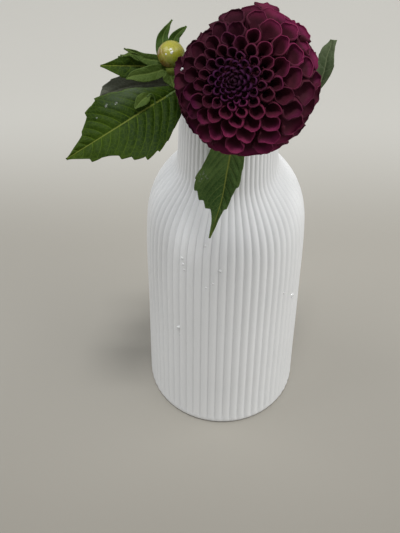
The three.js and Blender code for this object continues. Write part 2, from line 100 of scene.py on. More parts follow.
def list_value(values: Sequence[float], fraction: float) -> float:
    """Reads an evenly spaced list of sizes smoothly.

    Args:
        values: Sizes at even steps.
        fraction: Place in the list, from 0 to 1.

    Returns:
        The size there, on a smooth curve through the list.
    """
    place = clamp(fraction) * (len(values) - 1)
    low = min(int(place), len(values) - 2)
    before = values[max(low - 1, 0)]
    a, b = values[low], values[low + 1]
    after = values[min(low + 2, len(values) - 1)]
    return cubic_between(a, b, 0.5 * (b - before), 0.5 * (after - a), place - low)


def deselect() -> None:
    """Leaves object mode with nothing selected."""
    if bpy.context.object and bpy.context.object.mode != "OBJECT":
        bpy.ops.object.mode_set(mode="OBJECT")
    bpy.ops.object.select_all(action="DESELECT")


def pick(piece: bpy.types.Object) -> None:
    """Makes one object the only selected and active one.

    Args:
        piece: The object.
    """
    deselect()
    piece.select_set(True)
    bpy.context.view_layer.objects.active = piece


def thicken(piece: bpy.types.Object, thickness: float, offset: float) -> None:
    """Gives a sheet its thickness.

    Args:
        piece: The sheet.
        thickness: How thick it becomes, in the mesh's own units.
        offset: -1 to grow inwards only, 0 to grow both ways.
    """
    pick(piece)
    solidify = piece.modifiers.new("thickness", "SOLIDIFY")
    solidify.thickness = thickness
    solidify.offset = offset
    bpy.ops.object.modifier_apply(modifier=solidify.name)


def edit_all(piece: bpy.types.Object, *steps: Callable[[], object]) -> None:
    """Runs edit-mode steps on the whole mesh of a piece.

    Args:
        piece: The object to edit.
        steps: Operators to call, each with everything selected first.
    """
    pick(piece)
    bpy.ops.object.mode_set(mode="EDIT")
    for step in steps:
        bpy.ops.mesh.select_all(action="SELECT")
        step()
    bpy.ops.object.mode_set(mode="OBJECT")


def weld() -> None:
    """Edit-mode step: merges corners that lie on each other."""
    bpy.ops.mesh.remove_doubles(threshold=WELD_DISTANCE)


def face_out() -> None:
    """Edit-mode step: turns faces outwards."""
    bpy.ops.mesh.normals_make_consistent(inside=False)


def close_ends() -> None:
    """Edit-mode step: closes open ends."""
    bpy.ops.mesh.select_all(action="DESELECT")
    bpy.ops.mesh.select_non_manifold()
    bpy.ops.mesh.fill_holes(sides=0)


def turn_to(axis: Vector) -> Matrix:
    """Rotation that brings +Z to an axis."""
    return Vector((0, 0, 1)).rotation_difference(axis).to_matrix()


def ball(segments: int, rings: int, radius: float = 1.0) -> bpy.types.Object:
    """A ball at the origin, to be shaped.

    Args:
        segments: Faces round it.
        rings: Faces from pole to pole.
        radius: Its radius.

    Returns:
        The new object.
    """
    deselect()
    bpy.ops.mesh.primitive_uv_sphere_add(segments=segments, ring_count=rings, radius=radius)
    return bpy.context.object


def grid(name: str, columns: int, rows: int) -> bpy.types.Object:
    """A flat two by two sheet of squares to be moulded.

    Args:
        name: Name of the new object.
        columns: Squares along X.
        rows: Squares along Y.

    Returns:
        The new object.
    """
    deselect()
    bpy.ops.mesh.primitive_grid_add(x_subdivisions=columns, y_subdivisions=rows, size=2)
    piece = bpy.context.object
    piece.name = name
    return piece


def mould(piece: bpy.types.Object, shape: Callable[[float, float], Vector]) -> None:
    """Moves every corner of a sheet to where its shape puts it.

    Args:
        piece: A sheet made by grid.
        shape: Gives a place from across, -1 to 1, and along, 0 to 1.
    """
    for vertex in piece.data.vertices:
        across, along = vertex.co.x, 0.5 * (vertex.co.y + 1)
        vertex.co = shape(across, along)


def mark(piece: bpy.types.Object, name: str, values: Sequence[float]) -> None:
    """Stores one number for each corner under a name, for a finish to read."""
    layer = piece.data.attributes.new(name, "FLOAT", "POINT")
    layer.data.foreach_set("value", [float(v) for v in values])


def mark_all(piece: bpy.types.Object, **numbers: float) -> None:
    """Stores numbers that are the same at every corner, each under its own name."""
    for name, value in numbers.items():
        mark(piece, name, [value] * len(piece.data.vertices))


def coat(piece: bpy.types.Object, material: bpy.types.Material) -> bpy.types.Object:
    """Gives a piece one material in place of those it has.

    Args:
        piece: The object.
        material: Its new material.

    Returns:
        The same object.
    """
    piece.data.materials.clear()
    piece.data.materials.append(material)
    return piece


def join(pieces: Sequence[bpy.types.Object], name: str) -> bpy.types.Object:
    """Joins several objects into one.

    Args:
        pieces: The objects; the first one stays.
        name: Name of the joined object.

    Returns:
        The joined object.
    """
    pick(pieces[0])
    for piece in pieces:
        piece.select_set(True)
    if len(pieces) > 1:
        bpy.ops.object.join()
    pieces[0].name = name
    return pieces[0]


def hand_in(piece: bpy.types.Object, slot: Slot, *nodes: str) -> bpy.types.Object:
    """Settles a finished piece: place in its mesh, body and the nodes it stands for; its slot is only
    logged.

    Args:
        piece: The finished object.
        slot: The record's material slot.
        nodes: Solids that it replaces.

    Returns:
        The same object.
    """
    pick(piece)
    bpy.ops.object.transform_apply(location=True, rotation=True, scale=True)
    bpy.ops.object.shade_smooth()
    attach(piece, BODY)
    if nodes:
        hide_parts(*nodes)
    LOG.info("%s: %d faces, slot %s", piece.name, len(piece.data.polygons), slot.value)
    return piece


class SmoothPath:
    """A centripetal Catmull-Rom curve through points given in millimetres, with even spacing."""

    SAMPLES = 240

    def __init__(self, points: Sequence[Point]) -> None:
        """Lays the curve out in short steps.

        Args:
            points: The points that the curve passes, in millimetres.
        """
        knots = [Vector(p) for p in points]
        ends = [2 * knots[0] - knots[1], *knots, 2 * knots[-1] - knots[-2]]
        self.places: list[Vector] = []
        spans = len(knots) - 1
        for i in range(self.SAMPLES + 1):
            whole = min(int(i * spans / self.SAMPLES), spans - 1)
            t = i * spans / self.SAMPLES - whole
            self.places.append(self._span(ends[whole : whole + 4], t))
        self.lengths = [0.0]
        for a, b in zip(self.places, self.places[1:]):
            self.lengths.append(self.lengths[-1] + (b - a).length)

    @staticmethod
    def _span(knots: Sequence[Vector], t: float) -> Vector:
        """One span of the curve.

        Args:
            knots: Four knots; the span lies between the middle two.
            t: Share of the span, from 0 to 1.

        Returns:
            The place there.
        """
        d0, d1, d2 = (max((b - a).length, 1e-6) ** 0.5 for a, b in zip(knots, knots[1:]))
        a, b, c, d = knots
        rise_b = ((b - a) / d0 - (c - a) / (d0 + d1) + (c - b) / d1) * d1
        rise_c = ((c - b) / d1 - (d - b) / (d1 + d2) + (d - c) / d2) * d1
        return cubic_between(b, c, rise_b, rise_c, t)

    @property
    def length(self) -> float:
        """Whole length in millimetres."""
        return self.lengths[-1]

    def at(self, fraction: float) -> Vector:
        """The point at a share of the length.

        Args:
            fraction: The share, from 0 to 1.

        Returns:
            The point, in millimetres.
        """
        goal = clamp(fraction) * self.length
        low, high = 0, len(self.lengths) - 1
        while high - low > 1:
            middle = (low + high) // 2
            low, high = (middle, high) if self.lengths[middle] <= goal else (low, middle)
        step = self.lengths[high] - self.lengths[low]
        t = (goal - self.lengths[low]) / step if step else 0.0
        return self.places[low].lerp(self.places[high], t)

    def heading(self, fraction: float) -> Vector:
        """The direction at a share of the length."""
        step = 0.01
        return (self.at(min(fraction + step, 1)) - self.at(max(fraction - step, 0))).normalized()


def sweep(name: str, path: SmoothPath, radius: Callable[[float, float], float], sides: int,
          steps: int) -> bpy.types.Object:
    """A round stalk along a path, closed at both ends.

    Args:
        name: Name of the new object.
        path: Its middle line.
        radius: Radius in millimetres, from the share of the length and the angle round it.
        sides: Faces round the stalk.
        steps: Faces along it.

    Returns:
        The new object.
    """
    piece = grid(name, sides, steps)
    guide = Vector((0.3, 1.0, 0.2))  # the seam of the faces is laid out from here

    def shape(across: float, along: float) -> Vector:
        """Wraps one corner of the sheet round the path.

        Args:
            across: Share of half a turn, -1 to 1.
            along: Share of the path's length.

        Returns:
            Where the corner goes, in metres.
        """
        heading = path.heading(along)
        side = heading.cross(guide).normalized()
        up = side.cross(heading)
        angle = math.pi * across
        reach = radius(along, angle)
        return (path.at(along) + reach * (math.cos(angle) * side + math.sin(angle) * up)) * MM

    mould(piece, shape)
    edit_all(piece, weld, close_ends, face_out)
    return piece


# ------------------------------------------------------------------ finishes


class Recipe:
    """The node tree of one finish, with short ways to add the nodes that finishes share."""

    # a Mix node's colours come after its numbers and vectors
    FIRST_COLOUR, SECOND_COLOUR, MIXED_COLOUR = 6, 7, 2

    def __init__(self, name: str) -> None:
        """Starts a finish with its shader alone.

        Args:
            name: Name of the material.
        """
        self.material = bpy.data.materials.new(name)
        self.material.use_nodes = True
        self.tree = self.material.node_tree
        self.tree.nodes.clear()
        self.shader = self._node("BsdfPrincipled")
        self.tree.links.new(self.shader.outputs[0], self._node("OutputMaterial").inputs[0])

    def _node(self, kind: str) -> bpy.types.ShaderNode:
        """A new node of a kind."""
        return self.tree.nodes.new(f"ShaderNode{kind}")

    def _feed(self, target: bpy.types.NodeSocket, value: object) -> None:
        """Links an output or sets a plain value.

        Args:
            target: The input that gets it.
            value: The output, or a plain number, colour or vector.
        """
        if isinstance(value, bpy.types.NodeSocket):
            self.tree.links.new(value, target)
        elif target.type == "RGBA":
            target.default_value = (*value, 1.0)
        else:
            target.default_value = value

    def put(self, socket: str, value: object) -> None:
        """Sets or links one of the shader's own sockets."""
        self._feed(self.shader.inputs[socket], value)

    def place(self) -> bpy.types.NodeSocket:
        """Object coordinates."""
        return self._node("TexCoord").outputs["Object"]

    def along_y(self) -> bpy.types.NodeSocket:
        """The Y of object coordinates.

        Returns:
            The distance along Y, in metres.
        """
        node = self._node("SeparateXYZ")
        self._feed(node.inputs[0], self.place())
        return node.outputs["Y"]

    def read(self, name: str) -> bpy.types.NodeSocket:
        """A number stored on the piece by mark.

        Args:
            name: Name of the attribute.

        Returns:
            The number.
        """
        node = self._node("Attribute")
        node.attribute_name = name
        return node.outputs["Fac"]

    def math(self, operation: str, *values: object) -> bpy.types.NodeSocket:
        """A math node.

        Args:
            operation: The node's operation.
            values: Its inputs, plain or linked.

        Returns:
            The result.
        """
        node = self._node("Math")
        node.operation = operation
        for target, value in zip(node.inputs, values):
            self._feed(target, value)
        return node.outputs[0]

    def times(self, first: object, second: object) -> bpy.types.NodeSocket:
        """The product of two numbers."""
        return self.math("MULTIPLY", first, second)

    def plus(self, first: object, second: object) -> bpy.types.NodeSocket:
        """The sum of two numbers."""
        return self.math("ADD", first, second)

    def minus(self, first: object, second: object) -> bpy.types.NodeSocket:
        """The first number less the second."""
        return self.math("SUBTRACT", first, second)

    def rest(self, share: object) -> bpy.types.NodeSocket:
        """What a share leaves of 1."""
        return self.minus(1.0, share)

    def step(self, value: object, low: float, high: float) -> bpy.types.NodeSocket:
        """Smooth step of a number.

        Args:
            value: The number.
            low: Where the step starts to rise from 0.
            high: Where it reaches 1.

        Returns:
            The step.
        """
        node = self._node("MapRange")
        node.interpolation_type = "SMOOTHSTEP"
        self._feed(node.inputs["Value"], value)
        self._feed(node.inputs["From Min"], low)
        self._feed(node.inputs["From Max"], high)
        return node.outputs["Result"]

    def noise(self, scale: float, detail: float, stretch: Point = (1, 1, 1)) -> bpy.types.NodeSocket:
        """Noise on object coordinates.

        Args:
            scale: Cells in a metre.
            detail: Octaves.
            stretch: Factors along the axes.

        Returns:
            The noise, about 0 to 1.
        """
        mapping = self._node("Mapping")
        self._feed(mapping.inputs["Scale"], stretch)
        self._feed(mapping.inputs["Vector"], self.place())
        node = self._node("TexNoise")
        self._feed(node.inputs["Scale"], scale)
        self._feed(node.inputs["Detail"], detail)
        self._feed(node.inputs["Vector"], mapping.outputs[0])
        return node.outputs["Fac"]

    def cells(self, scale: float) -> bpy.types.NodeSocket:
        """Small cells on object coordinates.

        Args:
            scale: Cells in a metre.

        Returns:
            Distance to the nearest edge of a cell.
        """
        node = self._node("TexVoronoi")
        node.feature = "DISTANCE_TO_EDGE"
        self._feed(node.inputs["Scale"], scale)
        self._feed(node.inputs["Vector"], self.place())
        return node.outputs["Distance"]

    def mix(self, share: object, first: object, second: object) -> bpy.types.NodeSocket:
        """Mixes two colours.

        Args:
            share: How much of the second.
            first: First colour, plain or linked.
            second: Second colour, plain or linked.

        Returns:
            The mixed colour.
        """
        node = self._node("Mix")
        node.data_type = "RGBA"
        self._feed(node.inputs["Factor"], share)
        self._feed(node.inputs[self.FIRST_COLOUR], first)
        self._feed(node.inputs[self.SECOND_COLOUR], second)
        return node.outputs[self.MIXED_COLOUR]

    def bump(self, height: object, strength: float, distance_mm: float) -> None:
        """Gives the shader a bump.

        Args:
            height: The height, linked.
            strength: The node's strength.
            distance_mm: How high one unit is.
        """
        node = self._node("Bump")
        self._feed(node.inputs["Strength"], strength)
        self._feed(node.inputs["Distance"], distance_mm * MM)
        self._feed(node.inputs["Height"], height)
        self.put("Normal", node.outputs[0])


@dataclass(frozen=True)
class Ceramic:
    """White satin glaze, a little greyer in the grooves by painted shade."""

    crest: Colour = (0.87, 0.88, 0.89)
    mottle: Colour = (0.83, 0.85, 0.86)
    groove: Colour = (0.63, 0.64, 0.65)
    roughness: float = 0.36

    def make(self) -> bpy.types.Material:
        """Builds the material.

        Returns:
            The material.
        """
        r = Recipe("white_glaze")
        # painted shade: the glaze is mixed towards the grey groove colour where the ribs' grooves lie
        groove = r.times(r.step(r.read("groove"), 0.45, 1.0), 0.8)
        mottle = r.times(r.step(r.noise(45, 4), 0.3, 0.75), 0.35)
        r.put("Base Color", r.mix(groove, r.mix(mottle, self.crest, self.mottle), self.groove))
        speckle = r.noise(900, 2)
        r.put("Roughness", r.plus(self.roughness, r.times(speckle, 0.14)))
        r.put("Coat Weight", 0.12)
        r.put("Coat Roughness", 0.25)
        r.bump(r.plus(r.times(r.noise(120, 3), 0.7), r.times(speckle, 0.1)), 0.25, 0.25)
        return r.material


@dataclass(frozen=True)
class Petal:
    """Velvety burgundy with painted shade in the throats and painted light at their bottoms, wine and
    magenta at the lips, violet at the heart, and painted light and shade that vary round the bloom.
    """

    deep: Colour = (0.080, 0.0140, 0.0275)
    body: Colour = (0.084, 0.0094, 0.0225)
    lip: Colour = (0.074, 0.0096, 0.0245)
    magenta: Colour = (0.114, 0.0084, 0.0540)
    violet: Colour = (0.046, 0.0060, 0.0420)
    painted_light: Colour = (0.195, 0.0190, 0.0680)
    night: Colour = (0.018, 0.0040, 0.0110)
    throat: Colour = (0.054, 0.0086, 0.0168)

    def make(self) -> bpy.types.Material:
        """Builds the material.

        Returns:
            The material.
        """
        r = Recipe("burgundy_petal")
        height, grown = r.read("height"), r.read("grown")
        heart = r.rest(r.step(grown, 0.24, 0.46))
        middle = r.rest(r.step(grown, 0.04, 0.26))
        streak = r.noise(420, 3)
        # hue leans to the brighter magenta: partly the petals' own patches, partly painted light on the
        # right and low in front
        hue = r.step(r.read("hue"), 0.35, 0.95)
        outer = r.step(r.read("outer"), 0.15, 0.80)
        # from the throat's painted shade up to the lip
        rise = r.times(r.step(height, 0.68, 1.0), r.plus(0.35, r.times(outer, 0.65)))
        # painted light at the very bottom (deep, the lighter colour) and painted shade at mid-height
        # (throat, darker) stand in for the light in the cups
        throat = r.mix(r.step(height, 0.35, 0.65), self.deep, self.throat)
        colour = r.mix(rise, throat, r.mix(hue, self.body, self.magenta))
        lips = r.mix(r.times(hue, 0.7), self.lip, self.magenta)
        colour = r.mix(r.times(r.step(height, 0.70, 1.0), outer), colour, lips)
        # painted shade: the margins are pulled towards night so that they catch less light
        rim = r.times(r.step(r.read("along"), 0.86, 1.0), 0.30)
        colour = r.mix(rim, colour, self.night)
        # the tight florets of the heart
        tight = r.mix(r.step(height, 0.55, 1.0), self.night, self.violet)
        tight = r.mix(r.times(middle, 0.90), tight, self.night)
        colour = r.mix(heart, colour, tight)
        # streaks of random tone; then painted light on the florets low in front and up on the right, and
        # painted shade, mixed with random tone, up on the left
        colour = r.mix(r.times(r.step(streak, 0.40, 0.75), 0.25), colour, self.night)
        colour = r.mix(r.times(r.read("lit"), r.times(rise, 0.8)), colour, self.painted_light)
        colour = r.mix(r.times(r.read("shade"), 0.4), colour, self.night)
        r.put("Base Color", colour)
        r.put("Roughness", r.plus(0.6, r.times(streak, 0.2)))
        r.put("Specular IOR Level", 0.10)
        r.put("Sheen Weight", 0.02)
        r.put("Sheen Roughness", 0.4)
        r.put("Sheen Tint", (0.9, 0.25, 0.45))
        r.bump(r.noise(1400, 2), 0.3, 0.12)
        return r.material


@dataclass(frozen=True)
class Foliage:
    """A leaf in two blotchy greens, with paler veins, rim and tip, a midrib and a fine net.

    A painted sheen can lie on its right half near the base, and painted shade keeps its left half darker
    there.
    """

    name: str
    blade: Colour
    patch: Colour
    vein: Colour
    midrib: Colour
    vein_share: float = 0.6
    roughness: float = 0.5
    rim_share: float = 0.3
    painted_sheen_share: float = 0.0
    painted_sheen: Colour = (0.085, 0.110, 0.075)
    shaded_share: float = 0.0

    def make(self) -> bpy.types.Material:
        """Builds the material.

        Returns:
            The material.
        """
        r = Recipe(self.name)
        across, along, edge = r.read("across_mm"), r.read("along"), r.read("edge")
        rib_width = r.minus(0.62, r.times(along, 0.45))
        rib = r.rest(r.step(r.math("DIVIDE", r.math("ABSOLUTE", across), rib_width), 0.45, 1.0))
        cycle = r.math("FRACT", r.read("vein"))
        near = r.math("MINIMUM", cycle, r.rest(cycle))
        line = r.times(r.rest(r.step(near, 0.010, 0.075)), r.rest(r.times(edge, 0.55)))
        line = r.times(line, r.plus(0.35, r.times(r.step(r.noise(130, 2), 0.3, 0.65), 0.65)))
        net = r.rest(r.step(r.cells(520), 0.0, 0.14))
        colour = r.mix(r.step(r.noise(70, 4), 0.35, 0.7), self.blade, self.patch)
        # painted sheen: a greyer green on the right half near the base stands in for a reflection
        sheen_mask = r.times(r.step(across, 3.0, 12.0), r.rest(r.step(along, 0.30, 0.62)))
        sheen_mask = r.times(sheen_mask, r.plus(0.4, r.times(r.step(r.noise(110, 3), 0.3, 0.7), 0.6)))
        colour = r.mix(r.times(sheen_mask, self.painted_sheen_share), colour, self.painted_sheen)
        # painted shade: the left half near the base is darkened back to the blade colour
        shaded = r.times(r.rest(r.step(across, -9.0, -2.0)), r.rest(r.step(along, 0.35, 0.75)))
        colour = r.mix(r.times(shaded, self.shaded_share), colour, self.blade)
        colour = r.mix(r.times(r.step(along, 0.66, 0.95), 0.28), colour, self.vein)
        colour = r.mix(r.times(net, 0.22), colour, self.vein)
        colour = r.mix(r.times(line, self.vein_share), colour, self.vein)
        colour = r.mix(r.times(rib, 0.9), colour, self.midrib)
        colour = r.mix(r.times(r.step(edge, 0.94, 0.99), self.rim_share), colour, self.vein)
        r.put("Base Color", colour)
        r.put("Roughness", r.plus(self.roughness, r.times(r.noise(300, 2), 0.2)))
        r.put("Specular IOR Level", 0.12)
        relief = r.minus(r.times(r.noise(800, 2), 0.35), r.times(net, 0.5))
        r.bump(r.minus(relief, r.times(line, 0.8)), 0.5, 0.25)
        return r.material


@dataclass(frozen=True)
class Stalk:
    """Smooth green stem with pale streaks along it and a reddish tinge."""

    name: str = "green_stalk"
    green: Colour = (0.13, 0.22, 0.055)
    pale: Colour = (0.22, 0.30, 0.10)
    tinge: Colour = (0.13, 0.07, 0.04)

    def make(self) -> bpy.types.Material:
        """Builds the material.

        Returns:
            The material.
        """
        r = Recipe(self.name)
        streak = r.step(r.noise(900, 3, (1, 1, 0.06)), 0.35, 0.7)
        patch = r.times(r.step(r.noise(55, 3), 0.52, 0.78), 0.5)
        r.put("Base Color", r.mix(patch, r.mix(streak, self.green, self.pale), self.tinge))
        r.put("Roughness", r.plus(0.4, r.times(streak, 0.15)))
        r.bump(streak, 0.4, 0.2)
        return r.material


@dataclass(frozen=True)
class BudSkin:
    """Shiny yellow-green bud scales with a reddish-brown flush low down."""

    lime: Colour = (0.32, 0.30, 0.032)
    green: Colour = (0.16, 0.20, 0.018)
    flush: Colour = (0.20, 0.075, 0.03)

    def make(self) -> bpy.types.Material:
        """Builds the material.

        Returns:
            The material.
        """
        r = Recipe("bud_skin")
        colour = r.mix(r.step(r.read("height"), 0.15, 0.8), self.green, self.lime)
        flush = r.times(r.step(r.read("flush"), 0.35, 0.95), r.step(r.noise(260, 3), 0.25, 0.6))
        r.put("Base Color", r.mix(r.times(flush, 0.8), colour, self.flush))
        r.put("Roughness", r.plus(0.2, r.times(r.noise(500, 2), 0.15)))
        r.put("Coat Weight", 0.3)
        r.put("Coat Roughness", 0.12)
        r.put("Subsurface Weight", 0.15)
        r.put("Subsurface Radius", (0.002, 0.0025, 0.0005))
        r.bump(r.noise(1100, 2), 0.15, 0.1)
        return r.material


@dataclass(frozen=True)
class Water:
    """Clear water."""

    colour: Colour = (0.96, 0.98, 0.98)
    roughness: float = 0.02
    bending: float = 1.33

    def make(self) -> bpy.types.Material:
        """Builds the material.

        Returns:
            The material.
        """
        r = Recipe("clear_water")
        r.put("Base Color", self.colour)
        r.put("Roughness", self.roughness)
        r.put("IOR", self.bending)
        r.put("Transmission Weight", 1.0)
        r.bump(r.noise(60, 1), 0.05, 0.2)
        return r.material


@dataclass(frozen=True)
class DropWater:
    """Small white, partly see-through drops, whose colour is a painted highlight for the glints of water.
    """

    name: str
    cover: float
    body: Colour = (0.90, 0.93, 0.92)
    glint: Colour = (1.0, 1.0, 1.0)

    def make(self) -> bpy.types.Material:
        """Builds the material.

        Returns:
            The material.
        """
        r = Recipe(self.name)
        # painted highlight: white, flecked with the pure white glint colour
        r.put("Base Color", r.mix(r.step(r.noise(700, 1), 0.3, 0.7), self.body, self.glint))
        r.put("Alpha", self.cover)
        r.put("Roughness", 0.05)
        r.put("Specular IOR Level", 1.0)
        r.put("Coat Weight", 1.0)
        r.put("Coat Roughness", 0.02)
        return r.material


# ------------------------------------------------------------------ vase and water


@dataclass
class RibbedVase:
    """The tall vase with soft upright ribs.

    Its section is given as pairs of radius and height: the foot, the wall up to the lip, and the bore
    down to the middle of the floor inside. Radii are those of the ribs' crests.
    """

    height: float = 220.0
    foot: list[Pair] = field(default_factory=lambda: [
        (0, 0), (20, 0), (38, 0), (42.6, 0), (43.7, 0.2), (44.5, 0.8), (44.9, 1.8)])
    wall: list[Pair] = field(default_factory=lambda: [
        (44.98, 4), (44.4, 60), (43.7, 128), (42.7, 144), (41.1, 152), (38.2, 159.5), (33.2, 167.5),
        (29.1, 173), (26.9, 177.5), (26.2, 182.5), (25.4, 200), (24.7, 216)])
    bore: list[Pair] = field(default_factory=lambda: [
        (22.2, 178), (25.4, 169.5), (34.4, 156), (38.7, 143), (39.7, 128), (40.4, 9), (37, 5), (0, 5)])
    wall_rows: int = 84
    lip_middle: Pair = (22.6, 217.9)
    lip_reach: Pair = (2.05, 2.1)
    lip_rows: int = 6
    skin: float = 2.2  # what lies no deeper below the crests belongs to the outer wall
    rib_count: int = 60
    rib_steps: int = 10
    rib_turn: float = math.radians(-86.75)  # a crest stands here
    rib_depth: float = 0.026  # of the radius
    rib_roundness: float = 0.93
    ribs_start: Pair = (-0.5, 4.5)  # heights over which the ribs fade in
    ribs_end: Pair = (217.4, 219.8)  # and out
    unevenness: float = 0.004  # of the radius
    uneven_scale: float = 22.0  # cells in a metre

    def _profile(self) -> list[Pair]:
        """The whole section, with the wall cut into short rows and the lip rounded.

        Returns:
            Radius and height of each row.
        """
        wall = SmoothPath([(radius, 0, height) for radius, height in self.wall])
        places = [wall.at(i / self.wall_rows) for i in range(self.wall_rows + 1)]
        turns = [math.pi * i / self.lip_rows for i in range(1, self.lip_rows + 1)]
        (middle, height), (wide, tall) = self.lip_middle, self.lip_reach
        lip = [(middle + wide * math.cos(turn), height + tall * math.sin(turn)) for turn in turns]
        return [*self.foot, *((place.x, place.z) for place in places), *lip, *self.bore]

    def _radius_at(self, height: float) -> float:
        """Outer radius on the ribs' crests.

        Args:
            height: Height above the foot.

        Returns:
            The radius there.
        """
        rows = [*self.foot, *self.wall, (self.lip_middle[0], self.height)]
        for (r0, z0), (r1, z1) in zip(rows, rows[1:]):
            if z0 < z1 and z0 <= height <= z1:
                return r0 + (r1 - r0) * (height - z0) / (z1 - z0)
        return 0.0

    def _rib(self, angle: float) -> float:
        """How deep in a groove an angle lies.

        Args:
            angle: Angle round the axis.

        Returns:
            A share from 0 on a crest to 1 in the middle of a groove.
        """
        share = ((angle - self.rib_turn) * self.rib_count / (2 * math.pi)) % 1.0
        x = 1 - abs(2 * share - 1)
        return (1 - math.sqrt(1 - self.rib_roundness * x * x)) / (1 - math.sqrt(1 - self.rib_roundness))

    def _spin(self) -> None:
        """Edit-mode step: spins the section round the axis."""
        bpy.ops.mesh.spin(steps=self.rib_count * self.rib_steps, angle=2 * math.pi, center=(0, 0, 0),
                          axis=(0, 0, 1))

    def build(self) -> bpy.types.Object:
        """Draws the section point by point, spins it and presses the grooves in.

        Returns:
            The vase.
        """
        profile = self._profile()
        deselect()
        bpy.ops.mesh.primitive_plane_add(size=1)
        piece = bpy.context.object
        piece.name = "ribbed_vase"
        bpy.ops.object.mode_set(mode="EDIT")
        bpy.ops.mesh.select_all(action="SELECT")
        bpy.ops.mesh.merge(type="CENTER")
        for (r0, z0), (r1, z1) in zip(profile, profile[1:]):
            step = ((r1 - r0) * MM, 0, (z1 - z0) * MM)
            bpy.ops.mesh.extrude_region_move(TRANSFORM_OT_translate={"value": step})
        edit_all(piece, self._spin, weld, face_out)
        self._press_ribs(piece)
        return piece

    def _press_ribs(self, piece: bpy.types.Object) -> None:
        """Presses the grooves into the outer wall and stores how deep each corner lies.

        Args:
            piece: The spun vase.
        """
        depths = []
        for vertex in piece.data.vertices:
            radius = math.hypot(vertex.co.x, vertex.co.y) / MM
            height = vertex.co.z / MM
            outer = radius > self._radius_at(clamp(height, 0, self.height)) - self.skin
            fade = smooth(*self.ribs_start, height) * (1 - smooth(*self.ribs_end, height))
            depth = self._rib(math.atan2(vertex.co.y, vertex.co.x)) * fade if outer else 0.0
            drift = 1.0
            if outer and height > 1:
                drift += self.unevenness * noise.noise(vertex.co * self.uneven_scale)
            squeeze = (1 - self.rib_depth * depth) * drift
            vertex.co.x *= squeeze
            vertex.co.y *= squeeze
            depths.append(depth)
        mark(piece, "groove", depths)

    def dress(self) -> None:
        """Builds the vase, finishes it and gives the water its look."""
        hand_in(coat(self.build(), Ceramic().make()), Slot.VASE, "vase")
        coat(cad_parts["water"], Water().make())


# ------------------------------------------------------------------ stem


STEM_FOOT = Vector((-8, 12, 5.7))
STEM_LEAN = Vector((11.9, -11.1, 114.3)).normalized()


def on_lean(distance: float) -> Point:
    """A point on the stem's straight lower stretch, in millimetres."""
    return tuple(STEM_FOOT + STEM_LEAN * distance)


@dataclass
class FlowerStem:
    """The flower's stem and the stalk that carries the bud."""

    radius: float = 2.7
    node_place: float = 0.895  # share of the stem's length where leaves and stalks leave it
    node_width: float = 0.018
    node_swell: float = 0.16  # of the radius
    stalk_radius: float = 1.3
    path: list[Point] = field(default_factory=lambda: [
        tuple(STEM_FOOT), on_lean(60), on_lean(118), on_lean(140), (10.4, -5.2, 182), (14, -8.8, 216),
        (15.4, -11.6, 229), (14.3, -16.6, 240), (12.0, -22.4, 246.0)])
    stalk: list[Point] = field(default_factory=lambda: [
        (15.2, -10.8, 226), (9, -9.5, 234), (0, -10.5, 240.5), (-13, -15.5, 245.8),
        (-23.5, -22.6, 247.2), (-27.2, -23.8, 250.4), (-27.5, -22.2, 253.6)])

    def _girth(self, along: float, angle: float) -> float:
        """Radius of the stem: thicker where the leaves leave it, faintly ridged.

        Args:
            along: Share of its length.
            angle: Angle round it.

        Returns:
            The radius.
        """
        node = self.node_swell * math.exp(-(((along - self.node_place) / self.node_width) ** 2))
        ridge = 0.03 * math.cos(6 * angle)
        return self.radius * (0.98 + node + ridge - 0.05 * along)

    def _stalk_girth(self, along: float, angle: float) -> float:
        """Radius of the bud's stalk, at a share of its length and an angle: wider at both ends."""
        ends = 0.35 * smooth(0.16, 0.0, along) + 0.5 * smooth(0.9, 1.0, along)
        return self.stalk_radius * (0.92 + ends + 0.04 * math.cos(5 * angle))

    def dress(self) -> None:
        """Builds and finishes the stem."""
        main = sweep("flower_stem", SmoothPath(self.path), self._girth, 24, 90)
        side = sweep("bud_stalk", SmoothPath(self.stalk), self._stalk_girth, 16, 48)
        hand_in(coat(join([main, side], "flower_stem"), Stalk().make()), Slot.STEM, "stem")


# ------------------------------------------------------------------ leaves


